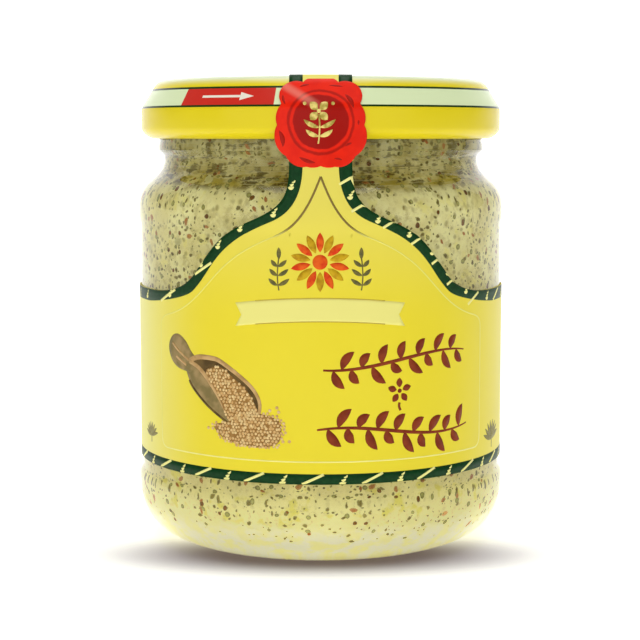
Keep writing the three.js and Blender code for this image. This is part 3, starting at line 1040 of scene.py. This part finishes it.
def bars_and_sprays():
    """Bars at one slant and sprays between them, along the bell and on round the sides."""
    slant = np.array([math.cos(BAR_SLANT), math.sin(BAR_SLANT)])
    level = (SIDE_EDGE + INNER_SIDE_EDGE) / 2
    beyond = np.arange(SIDE_BARS[-1] + SIDE_PITCH, LABEL_REACH - END_ROOM, SIDE_PITCH)
    sides = [*SIDE_BARS, *beyond, *-beyond]
    patches = [bar(np.array(middle), BELL_BAR_HALF * slant, 5) for middle in BELL_BARS]
    patches += [bar(np.array([side, level]), SIDE_BAR_HALF * slant, 5) for side in sides]
    patches += [stroke(evenly(ends, 12), BAR_WIDTH) for ends in LEFT_BARS]
    further = [(way * (side - SIDE_PITCH / 2), level) for side in beyond for way in (-1, 1)]
    for middle in (*RIGHT_SPRAYS, *LEFT_SPRAYS, *further):
        patches += spray(np.subtract(middle, SPRAY_SHIFT), SPRAY_SIZE)
    return patches


def foot_bars():
    """The bottom band's bars and sprays, all the way round."""
    patches = []
    half = np.array([FOOT_SLANT, BOTTOM_INNER - LABEL_BOTTOM - 2 * BORDER_MARGIN]) / 2
    first = math.ceil((END_ROOM - LABEL_REACH - FOOT_START) / FOOT_PITCH)
    last = math.floor((LABEL_REACH - END_ROOM - FOOT_START) / FOOT_PITCH)
    for k in range(first, last + 1):
        middle = np.array([FOOT_START + k * FOOT_PITCH, (BOTTOM_INNER + LABEL_BOTTOM) / 2])
        patches.append(bar(middle, half, 7))
        patches += spray(middle + (FOOT_PITCH / 2, 0) - SPRAY_SHIFT, FOOT_SPRAY_SIZE)
    return patches


def make_border():
    edges = (LABEL_BOTTOM, BOTTOM_INNER)
    foot = [evenly([(-LABEL_REACH, z), (LABEL_REACH, z)], FOOT_COUNT) for z in edges]
    green = mirrored([between(*border_lines(), 4)]) + [between(*foot)]
    print_piece("print_green", green, 1, ink("ink_green", (8, 54, 20), (14, 62, 26)))
    cream = [on_paper(patch) for patch in bars_and_sprays() + foot_bars()]
    print_piece("print_cream", cream, 2, ink("ink_cream", (246, 240, 150)))


make_border()

# Frame line: a fine line of gold ink inside the border, dark where it rises to a point under
# the strip and pale round the rest of the field.
FRAME_SIDE, FRAME_FOOT, FRAME_CORNER = 32.6, 18.6, 2
FRAME_WIDTH, DARK_WIDTH, DARK_FROM = 0.22, 0.36, 56
FRAME_CURVES = (
    ((0, 65.9), (1.6, 61.9), (3.2, 57.9), (7.8, 56.0)),
    ((7.8, 56.0), (11.5, 54.5), (14.5, 53.0), (17.7, 50.1)),
    ((17.7, 50.1), (21.2, 46.9), (23.8, 43.4), (30.0, 42.0)),
    ((30.0, 42.0), (FRAME_SIDE, 41.4), (FRAME_SIDE, 40.5), (FRAME_SIDE, 38.5)),
)


def gold_line():
    """Pale gold ink that turns dark where the line rises under the strip."""
    material, start = new_material("ink_gold_line")
    height = place_on_label(start)[1]
    pale = height.rise(19, 26).mix((244, 238, 140), (238, 230, 108))
    base = height.rise(55.2, 57.8).mix(pale, (128, 104, 26))
    return finished(material, start, {"Base Color": base, "Roughness": 0.35})


def make_frame_line():
    above, beside = (FRAME_SIDE, FRAME_FOOT + FRAME_CORNER), (FRAME_SIDE - FRAME_CORNER, FRAME_FOOT)
    right = line_of(
        *(bezier(*curve) for curve in FRAME_CURVES),
        evenly([FRAME_CURVES[-1][-1], above], 20),
        bezier(above, (FRAME_SIDE, FRAME_FOOT), beside),
        evenly([beside, (0, FRAME_FOOT)], 60),
    )
    width = np.where(right[:, 1] > DARK_FROM, DARK_WIDTH, FRAME_WIDTH)
    print_piece("print_frame_line", mirrored([stroke(right, width)]), 1, gold_line())


make_frame_line()

# Emblem: a printed sunburst between two leafy sprigs, in red, gold and olive inks. Each sprig has
# a stem, a leaf at its end and pairs of leaves, named by the height that they grow from and
# their reach.
SUN_MIDDLE = (-0.1, 51.9)
SUN_PETALS = 14
SUN_INNER, SUN_OUTER = 1.6, 4.9
SUN_PETAL_WIDTH, SUN_DISC = 1.25, 1.25
SPRIG_ASIDE = 6.8
SPRIG_FOOT, SPRIG_TOP = 47.2, 52.6
SPRIG_PAIRS = ((48.0, 1.75), (49.6, 1.6), (51.1, 1.3))


def sun_petals(first):
    """Every second petal of the sunburst, from the first one on."""
    turns = np.arange(first, SUN_PETALS, 2) * 2 * np.pi / SUN_PETALS + np.pi / 2
    return leaves_round(SUN_MIDDLE, turns, SUN_INNER, SUN_OUTER, SUN_PETAL_WIDTH)


def emblem_sprig(way):
    """An upright stem with pairs of leaves that lean out and up."""
    middle = SUN_MIDDLE[0] + way * SPRIG_ASIDE
    stem = bezier((middle, SPRIG_FOOT), (middle + 0.5 * way, 49.5), (middle, SPRIG_TOP), step=0.3)
    patches = [stroke(stem, 0.22), leaf((middle, SPRIG_TOP - 0.3), (middle, SPRIG_TOP + 1.7), 0.75)]
    for height, reach in SPRIG_PAIRS:
        for side in (-1, 1):
            base = (middle + 0.2 * way, height)
            tip = (middle + side * reach, height + 1.15)
            patches.append(leaf(base, tip, 0.68, -0.12 * side))
    return patches


def make_emblem():
    red = [disc(SUN_MIDDLE, SUN_DISC, 20)] + sun_petals(0)
    print_piece("print_sun_red", red, 1, ink("ink_sun_red", (214, 52, 12), (232, 98, 24), 0.7))
    gold = sun_petals(1)
    print_piece("print_sun_gold", gold, 1, ink("ink_sun_gold", (206, 166, 24), (178, 132, 12), 0.9))
    olive = emblem_sprig(-1) + emblem_sprig(1)
    print_piece("print_sprigs", olive, 1, ink("ink_olive", (122, 112, 56), (92, 90, 52), 1.2))


make_emblem()

# Banner: a plain, pale yellow ribbon printed under the emblem, with a gold edge above and below
# and a small notch cut into each end.
BANNER_HALF, BANNER_LEFT, BANNER_RIGHT = 1.95, -14.6, 14.4
BANNER_MIDDLE, BANNER_BOW = 44.0, -1.0
BANNER_NOTCH, BANNER_EDGE = 1.1, 0.16


def make_banner():
    """Rows across the ribbon, which sags by the square of the side. A row's ends are pulled in,
    the more the nearer it is to the middle one, by a high power of the side."""
    share = np.linspace(-1, 1, 41)
    side = (BANNER_LEFT + BANNER_RIGHT + share * (BANNER_RIGHT - BANNER_LEFT)) / 2
    middle = BANNER_MIDDLE + BANNER_BOW * share**2
    rows = []
    for across in np.linspace(-1, 1, 9):
        pulled = side - np.sign(share) * BANNER_NOTCH * (1 - abs(across)) * np.abs(share) ** 12
        rows.append(np.stack([pulled, middle + across * BANNER_HALF], -1))
    print_piece("print_banner", [np.array(rows)], 1, ink("ink_banner", (240, 233, 134)))
    edges = [stroke(row[5:-5], BANNER_EDGE) for row in (rows[0], rows[-1])]
    print_piece("print_banner_edge", edges, 2, ink("ink_banner_edge", (196, 170, 60)))


make_banner()

# Brush sprigs: two swaying rows of leaves with a flower between them, as if drawn with a brush
# in brown ink. A row has the corners of its stem's curve, a number of leaves, and their length
# and width.
SPRIG_STEM = 0.5
UPPER_ROW = (((0.4, 34.0), (9.0, 33.4), (18.5, 37.8), (27.4, 36.2)), 15, 3.9, 1.5)
LOWER_ROW = (((-0.6, 24.0), (9.5, 25.6), (18.0, 20.8), (28.3, 23.4)), 16, 4.1, 1.6)
FLOWER_MIDDLE, FLOWER_SIZE = (13.5, 30.2), 2.2
FLOWER_STALK = ((0, 0.9), (0.3, 1.2), (-0.2, 1.5))


def brush_sprig(corners, count, size, width):
    """A swaying stem with leaves on alternate sides, each leaning along the stem's run. The
    stem's width swells by a half wave, and the leaves' lean and length sway by sines."""
    stem = bezier(*corners, step=0.3)
    along = directions(stem)
    taper = SPRIG_STEM * (0.45 + 0.75 * np.sin(np.pi * np.linspace(0.1, 1, len(stem))))
    patches = [stroke(stem, taper)]
    for k, place in enumerate(np.linspace(0.06, 0.93, count)):
        at = round(place * (len(stem) - 1))
        side = 1 if k % 2 else -1
        left = np.array([-along[at][1], along[at][0]])
        lean = 0.62 + 0.2 * math.sin(2.4 * k)
        reach = size * (0.82 + 0.18 * math.sin(1.7 * k + 0.6))
        out = side * left + lean * along[at]
        tip = stem[at] + reach * out / np.linalg.norm(out)
        patches.append(leaf(stem[at], tip, width, 0.45 * side))
    return patches


def brush_flower(middle, size):
    """Five petals round a middle dot, over a small curved stalk."""
    turns = np.arange(5) * 2 * np.pi / 5 + np.pi / 2
    petals = leaves_round(middle, turns, 0.26 * size, size, 0.5 * size, 0.06)
    stalk = bezier(*(middle - (aside, down * size) for aside, down in FLOWER_STALK))
    return [disc(middle, 0.17 * size), *petals, stroke(stalk, 0.45)]


def make_brush_sprigs():
    flower = brush_flower(np.array(FLOWER_MIDDLE), FLOWER_SIZE)
    brown = brush_sprig(*UPPER_ROW) + flower + brush_sprig(*LOWER_ROW)
    print_piece("print_brush_sprigs", brown, 1, ink("ink_brown", (122, 44, 22), (140, 58, 26), 0.5))


make_brush_sprigs()

# Scoop: a printed picture of a wooden scoop that lies on its side, its bowl full of pale seeds,
# with a small heap of them spilt before it. Smooth curves run through the corners given here.
SCOOP_HANDLE = (
    (-24.0, 36.2), (-25.3, 37.8), (-27.0, 38.8), (-28.6, 38.6), (-29.8, 37.3), (-29.9, 35.7),
    (-28.9, 34.0), (-27.2, 33.0), (-25.2, 32.6), (-23.9, 32.6), (-22.9, 33.6), (-22.9, 35.0),
)
SCOOP_UNDER = (
    (-25.2, 32.8), (-24.6, 31.4), (-23.4, 29.8), (-20.6, 27.4), (-18.2, 25.8), (-15.7, 24.3),
)
NEAR_RIM = (
    (-24.4, 34.4), (-22.4, 33.6), (-20.4, 31.9), (-18.4, 29.6), (-17.0, 27.6), (-15.6, 25.2),
)
FAR_RIM = (
    (-24.4, 34.5), (-22.2, 35.3), (-19.2, 35.3), (-17.4, 34.8), (-14.0, 32.7), (-11.5, 30.6),
    (-10.3, 28.4), (-10.4, 25.9),
)
HANDLE_GRAIN = (
    ((-28.9, 37.2), (-26.9, 35.6), (-24.6, 34.6)),
    ((-27.9, 35.0), (-26.4, 34.2), (-25.2, 33.7)),
)
SCOOP_SEEDS = (
    (-20.5, 33.3), (-17.5, 33.9), (-15.2, 32.4), (-12.6, 30.3), (-11.3, 28.4), (-10.7, 26.2),
    (-13.4, 25.3), (-15.9, 25.1), (-17.2, 27.4), (-18.2, 29.4), (-19.9, 31.8),
)
SEED_HEAP = (
    (-19.5, 24.2), (-19.3, 23.1), (-16.9, 21.4), (-12.6, 20.6), (-10.0, 20.4), (-6.7, 21.2),
    (-5.8, 23.2), (-6.2, 25.6), (-9.0, 26.7), (-12.0, 26.7), (-15.6, 25.3), (-17.5, 24.7),
)
STRAY_SEEDS = ((-8.5, 27.1), (-7.3, 27.6), (-7.0, 26.9), (-20.1, 23.4), (-5.2, 22.0))
RIM_COUNT = 30
PRINTED_SEED, PRINTED_PITCH, PRINTED_ROW = 0.29, 0.6, 0.87


def inside_ring(points, ring):
    """Whether points lie inside a closed ring: an odd number of its edges pass to their right."""
    x, y = points.T[:, :, None]
    (x0, y0), (x1, y1) = ring.T, np.roll(ring, -1, 0).T
    crosses = (y0 > y) != (y1 > y)
    meets = x0 + (y - y0) * (x1 - x0) / np.where(y1 == y0, 1, y1 - y0)
    return ((crosses & (x < meets)).sum(1) % 2) == 1


def seed_rounds(ring, random, share):
    """Little rounds on an uneven honeycomb lattice within a ring; a share of them is kept."""
    low, high = ring.min(0), ring.max(0)
    pitch = np.array([PRINTED_PITCH, PRINTED_PITCH * PRINTED_ROW])
    columns, rows = np.ceil((high - low) / pitch).astype(int) + 1
    row, column = np.mgrid[:rows, :columns]
    points = (low + pitch * np.stack([column + 0.5 * (row % 2), row], -1)).reshape(-1, 2)
    points = points + random.uniform(-0.12, 0.12, points.shape)
    kept = inside_ring(points, ring) & (random.random(len(points)) < share)
    return [disc(point, PRINTED_SEED * random.uniform(0.75, 1.0), 7) for point in points[kept]]


def make_scoop():
    random = np.random.default_rng(88)
    outlines = (SCOOP_UNDER, NEAR_RIM, FAR_RIM)
    under, near, far = (smooth_line(corners, RIM_COUNT) for corners in outlines)
    wood = [fill(smooth_ring(SCOOP_HANDLE)), between(under, near, 6)]
    print_piece("print_scoop_wood", wood, 1, ink("ink_wood", (128, 112, 66), (166, 140, 92), 0.42))
    dark = [between(near, far, 9), stroke(under[4:], 0.42)]
    print_piece("print_scoop_dark", dark, 2, ink("ink_umber", (84, 64, 30), (110, 86, 44), 0.6))
    widths = ((near, 0.7, 0.95), (far, 0.9, 0.55))
    rims = [stroke(line, np.linspace(first, last, RIM_COUNT)) for line, first, last in widths]
    rims += [stroke(bezier(*corners), 0.4) for corners in HANDLE_GRAIN]
    print_piece("print_scoop_rim", rims, 3, ink("ink_rim", (206, 168, 112), (180, 142, 88), 0.6))
    heap, full = smooth_ring(SEED_HEAP), smooth_ring(SCOOP_SEEDS)
    shade = [fill(full)[:, ::2], fill(heap)[:-1, ::2]]
    print_piece("print_seed_shade", shade, 4, ink("ink_seed_shade", (166, 124, 66), (146, 106, 52)))
    rounds = seed_rounds(full, random, 0.97) + seed_rounds(heap, random, 0.95)
    rounds += [disc(point, PRINTED_SEED, 7) for point in STRAY_SEEDS]
    print_piece("print_seeds", rounds, 5, ink("ink_seed", (236, 206, 146), (210, 166, 104), 1.3))


make_scoop()

# Side herbs: a small tuft of leaves at each side of the front, in pale olive ink. Each has the
# side and height of its root and its size.
HERBS = ((-37.2, 18.6, 1.0), (38.2, 17.5, 1.35))
HERB_LEAF, HERB_WIDTH = (3.0, 2.6), 0.6


def make_herbs():
    patches = []
    for side, height, size in HERBS:
        root = np.array([side, height])
        patches.append(stroke(evenly([root, root + (0, 1.6 * size)], 5), 0.3))
        for turn in np.radians(np.arange(20, 161, 20)):
            base = root + (0, 1.1 * size)
            tip = base + size * np.multiply(HERB_LEAF, (math.cos(turn), math.sin(turn)))
            patches.append(leaf(base, tip, HERB_WIDTH * size, 0.1))
    print_piece("print_herbs", patches, 1, ink("ink_herb", (150, 142, 78), (132, 122, 70), 0.9))


make_herbs()

# Seal: a wax seal printed on the strip where it crosses the lid's edge, in bright red, with
# a darker round field, a groove round it and creases in its uneven rim. A crease is a leaf: its
# base, tip, width and bend. In the field is a four-petalled flower on a stem, in pale gold.
SEAL_MIDDLE = (0.0, 74.85)
SEAL_FRINGE, SEAL_TOP = 0.04, 82.5
SEAL_FOOT = (1.3, 70.6, 3.3)
SEAL_GROOVE, SEAL_RING = 5.3, 4.85
SEAL_FLOWER, SEAL_PETAL = (-0.3, 1.7), (0.3, 2.0, 1.3)
SEAL_STEM, STEM_WIDTH = ((-0.3, 1.2), (0, -1.0), (-0.4, -3.6)), 0.26
SEAL_BERRIES = ((-2.3, 1.2), (2.3, 1.2))
STEM_LEAVES = ((0.5, 2.6), (0.78, 2.2))
SEAL_CREASES = (
    ((-6.85, 73.4), (-6.2, 70.7), 0.75, 0.25),
    ((-3.5, 69.05), (-0.9, 68.15), 0.6, -0.15),
    ((4.0, 79.45), (5.4, 77.0), 0.7, 0.2),
    ((4.0, 70.8), (5.1, 71.35), 0.35, 0.1),
    ((6.2, 75.1), (6.2, 74.3), 0.3, 0.0),
    ((2.2, 68.8), (3.5, 68.6), 0.3, 0.1),
    ((-6.2, 79.4), (-5.8, 77.6), 0.4, -0.15),
    ((-3.4, 80.9), (-1.9, 81.3), 0.35, 0.1),
    ((1.4, 81.15), (3.6, 80.95), 0.3, 0.05),
)


def seal_outline():
    """Round the seal's middle, the furthest that any of its lobes reaches along a ray: the
    ray's far meeting with the lobe's circle. A fringe of paper is left bare, and the top is
    cut level under the lid's edge."""
    turn = np.linspace(0, 2 * np.pi, 240, endpoint=False)
    ray = np.stack([np.cos(turn), np.sin(turn)], -1)
    reach = np.zeros(len(turn))
    for offset, height, radius in (*SEAL_LOBES, SEAL_FOOT):
        for side in (-offset, offset):
            middle = np.array([side, height]) - SEAL_MIDDLE
            along = ray @ middle
            room = radius**2 - (middle @ middle - along**2)
            far = along + np.sqrt(np.maximum(room, 0))
            reach = np.where(room > 0, np.maximum(reach, far), reach)
    outline = np.array(SEAL_MIDDLE) + (reach - SEAL_FRINGE)[:, None] * ray
    return np.minimum(outline, (math.inf, SEAL_TOP))


def wax_print():
    """Red ink, darker in the groove and in the round field, whose edges a cloudy noise makes
    uneven, with a painted highlight across the upper left."""
    material, start = new_material("ink_seal")
    side, height = place_on_label(start)
    x, y = side - SEAL_MIDDLE[0], height - SEAL_MIDDLE[1]
    place = place_in_mm(start)
    wobble = place.noise(0.45, 2.0) * 0.5
    away = start.math("POWER", x * x + y * y, 0.5) + wobble - 0.25
    cloud = place.noise(0.4, 2.0).rise(0.35, 0.65)
    base = cloud.mix((240, 38, 12), (230, 32, 10))
    groove = away.within(SEAL_GROOVE - 0.22, SEAL_GROOVE + 0.22, 0.3)
    base = (groove * 0.75).mix(base, (156, 18, 8))
    inner = 1 - away.rise(SEAL_RING - 0.45, SEAL_RING - 0.15)
    base = inner.mix(base, (164, 16, 6))
    # Painted highlight: a pale streak across the seal's upper left.
    painted_highlight = (x * 0.57 + y * 0.82).within(1.1, 2.4, 1.1) * (1 - (x * 0.82 - y * 0.57).rise(-4.5, 0.5))
    base = (painted_highlight * 0.5).mix(base, (240, 150, 130))
    return finished(material, start, {"Base Color": base, "Roughness": 0.3, "Specular IOR Level": 0.12})


def make_seal():
    print_piece("print_seal", [fill(seal_outline(), 0.18)], 3, wax_print())
    creases = [leaf(*crease) for crease in SEAL_CREASES]
    print_piece("print_seal_creases", creases, 4, ink("ink_crease", (172, 26, 14)))
    flower = np.add(SEAL_MIDDLE, SEAL_FLOWER)
    gold = leaves_round(flower, np.radians(45 + 90 * np.arange(4)), *SEAL_PETAL)
    stem = bezier(*np.add(SEAL_MIDDLE, SEAL_STEM), step=0.3)
    gold.append(stroke(stem, STEM_WIDTH))
    for share, reach in STEM_LEAVES:
        base = stem[round(share * (len(stem) - 1))]
        for way in (-1, 1):
            gold.append(leaf(base, base + (way * reach, 0.5 * reach), 0.75, -0.25 * way))
    gold += [disc(flower, 0.34), *(disc(flower + place, 0.3) for place in SEAL_BERRIES)]
    print_piece("print_seal_gold", gold, 5, ink("ink_seal_gold", (244, 222, 128), (168, 148, 60), 0.9))


make_seal()

# Seeds and hulls: whole mustard seeds, rusty husks, dark specks and flakes of bran and a few
# large pale hulls lie in the paste. The glass presses them flat, so each reaches a little into
# its wall. None lies where the label hides it. A kind has its lattice's pitch, the share of its
# places that are taken, the ranges of a grain's length and of its width for each unit of that,
# and how ragged its outline is; then the two colours of its middle, and its rim's with a share.
GRAIN_KINDS = {
    "bran_specks": (
        (0.95, 0.4, (0.25, 0.6), (0.35, 0.9), 0.35),
        ((98, 88, 32), (158, 146, 76), (188, 178, 112), 0.85),
    ),
    "seeds_whole": (
        (2.6, 0.42, (0.7, 1.15), (0.85, 1.0), 0.12),
        ((150, 146, 76), (192, 186, 112), (104, 98, 40), 0.8),
    ),
    "seeds_brown": (
        (3.4, 0.28, (0.7, 1.1), (0.85, 1.0), 0.14),
        ((104, 66, 18), (150, 104, 44), (128, 100, 50), 0.7),
    ),
    "husks_rust": (
        (3.0, 0.24, (0.8, 1.6), (0.45, 0.75), 0.3),
        ((160, 92, 34), (210, 156, 86), (200, 166, 98), 0.7),
    ),
    "hulls_pale": (
        (9.0, 0.3, (2.0, 3.2), (0.5, 0.8), 0.25),
        ((198, 192, 128), (216, 208, 140), (226, 220, 158), 0.6),
    ),
    "bran_flakes": (
        (1.5, 0.34, (0.5, 1.15), (0.5, 0.9), 0.3),
        ((94, 80, 24), (150, 136, 70), (188, 178, 112), 0.85),
    ),
}
GRAIN_CORNERS = 9
GRAIN_PROUD, GRAIN_SUNK, INNER_RING = 0.045, 0.5, 0.78
LABEL_COVER = 2.5
GRAIN_TOP = 73.0
FEWER_AT_FOOT = ((4.5, 6.5, 9.5), (0.0, 0.5, 1.0))


def on_wall(angle, run, lift):
    """Places on the paste's outside as points: the run is measured along its line from the
    middle of the floor, and the lift is out from it, square to it."""
    line = paste_line()
    r, z = raised(line, measured(line), run, lift)
    return np.stack([r * np.sin(angle), -r * np.cos(angle), z], -1)


def in_sight(points):
    """Whether places on the paste are clear of the label, or no more than a little under it."""
    side = np.arctan2(points[:, 0], -points[:, 1]) * LABEL_AROUND
    height = points[:, 2]
    top = bell_top(side, LID_HEIGHT)
    covered = (height > LABEL_BOTTOM + LABEL_COVER) & (height < top - LABEL_COVER)
    covered &= np.abs(side) < LABEL_REACH - LABEL_COVER
    return ~covered & (height < GRAIN_TOP)


def strewn(random, apart, share):
    """Angles and runs of an uneven lattice over the paste. Its places are about a distance
    apart and moved at random by up to a third of it. They thin out towards the axis, and a
    share of them is kept, more in drifts, which are sums of sines of the angle and the run."""
    length = measured(paste_line())[-1]
    rows, columns = round(length / apart), round(2 * math.pi * WALL_RADIUS / apart)
    row, column = np.mgrid[:rows, :columns]
    moved = random.uniform(-0.35, 0.35, (2, rows, columns))
    angle = ((column + 0.5 * (row % 2) + moved[0]) * 2 * np.pi / columns).ravel()
    run = ((row + 0.5 + moved[1]) * length / rows).ravel()
    points = on_wall(angle, run, 0.0)
    wave = np.sin(3.1 * angle + 0.23 * run) + np.sin(7.7 * angle - 0.41 * run + 1.3)
    drift = 1 + 0.35 * wave * np.cos(5.3 * angle + 0.31 * run)
    around = np.hypot(points[:, 0], points[:, 1]) / WALL_RADIUS
    around = around * np.interp(points[:, 2], *FEWER_AT_FOOT)
    kept = (random.random(len(angle)) < share * drift * around) & in_sight(points)
    return angle[kept], run[kept]


def grains(name, random, material, apart, share, length, slim, ragged):
    """Flat domes on the paste: a middle, two rings and a sunk back. Each ring's points lie at a
    reach that varies in slow waves round the grain. Every grain has a tone of its own from 0 to
    1, and its rim runs from 0 in the middle to 1 at the edge."""
    angle, run = strewn(random, apart, share)
    count = len(angle)
    turn = np.arange(GRAIN_CORNERS) * 2 * np.pi / GRAIN_CORNERS
    phase = random.uniform(0, 2 * np.pi, (3, count, 1))
    reach = 1 + ragged * sum(np.sin(k * turn + phase[k - 2]) / k for k in (2, 3, 4))
    size = random.uniform(*length, (count, 1)) / 2
    ratio = random.uniform(*slim, (count, 1))
    lie = random.uniform(0, np.pi, (count, 1))
    u = size * reach * np.cos(turn)
    v = size * ratio * reach * np.sin(turn)
    u, v = u * np.cos(lie) - v * np.sin(lie), u * np.sin(lie) + v * np.cos(lie)
    middle = np.zeros((count, 1))
    across = np.concatenate([middle, INNER_RING * u, u, middle], 1)
    up = np.concatenate([middle, INNER_RING * v, v, middle], 1)
    proud = np.full((count, GRAIN_CORNERS), GRAIN_PROUD)
    lift = [middle + 1.2 * GRAIN_PROUD, proud, -0.8 * proud, -GRAIN_SUNK * size]
    lift = np.concatenate(lift, 1)
    around = np.maximum(np.hypot(*on_wall(angle, run, 0.0)[:, :2].T), 1.0)
    points = on_wall(angle[:, None] + across / around[:, None], run[:, None] + up, lift)
    first = 1 + np.arange(GRAIN_CORNERS)
    second = 1 + (np.arange(GRAIN_CORNERS) + 1) % GRAIN_CORNERS
    low, high = first + GRAIN_CORNERS, second + GRAIN_CORNERS
    back = np.full(GRAIN_CORNERS, 2 * GRAIN_CORNERS + 1)
    faces = np.concatenate([
        np.stack([0 * first, first, second], -1),
        np.stack([first, low, high], -1),
        np.stack([first, high, second], -1),
        np.stack([back, high, low], -1),
    ])
    each = points.shape[1]
    faces = (faces + each * np.arange(count)[:, None, None]).reshape(-1, 3)
    piece = new_piece(name, points.reshape(-1, 3), faces, material)
    tone = np.repeat(random.random(count), each)
    edge = np.tile(np.repeat([0.0, 0.6, 1.0, 1.0], [1, GRAIN_CORNERS, GRAIN_CORNERS, 1]), count)
    for label, values in (("tone", tone), ("rim", edge)):
        layer = piece.data.attributes.new(label, "FLOAT", "POINT")
        layer.data.foreach_set("value", values)
    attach(piece, "root")


def grain_skin(name, dark, light, rim, rim_share):
    """A grain's colour lies between two by its tone, and goes to a third at its rim. Grains at
    the jar's foot carry the painted glow that the paste has there."""
    material, start = new_material(name)
    tone = start.node("Attribute", {"attribute_name": "tone"}, {}, "Fac")
    edge = start.node("Attribute", {"attribute_name": "rim"}, {}, "Fac")
    place = place_in_mm(start)
    cloud = place.noise(2.2, 3.0)
    base = (tone * 0.75 + cloud.rise(0.3, 0.7) * 0.25).mix(dark, light)
    base = (edge.rise(0.15, 0.92) * rim_share).mix(base, rim)
    # Painted glow: grains low in the jar glow in their own colour.
    low = 1 - place.axis("Z").rise(5, 14)
    return finished(material, start, {
        "Base Color": base,
        "Roughness": 0.45,
        "Specular IOR Level": 0.1,
        "Emission Color": low.mix((0, 0, 0), base),
        "Emission Strength": PAINTED_GLOW,
    })


def make_grains():
    random = np.random.default_rng(4127)
    for name, (form, tones) in GRAIN_KINDS.items():
        grains(name, random, grain_skin(name, *tones), *form)


make_grains()
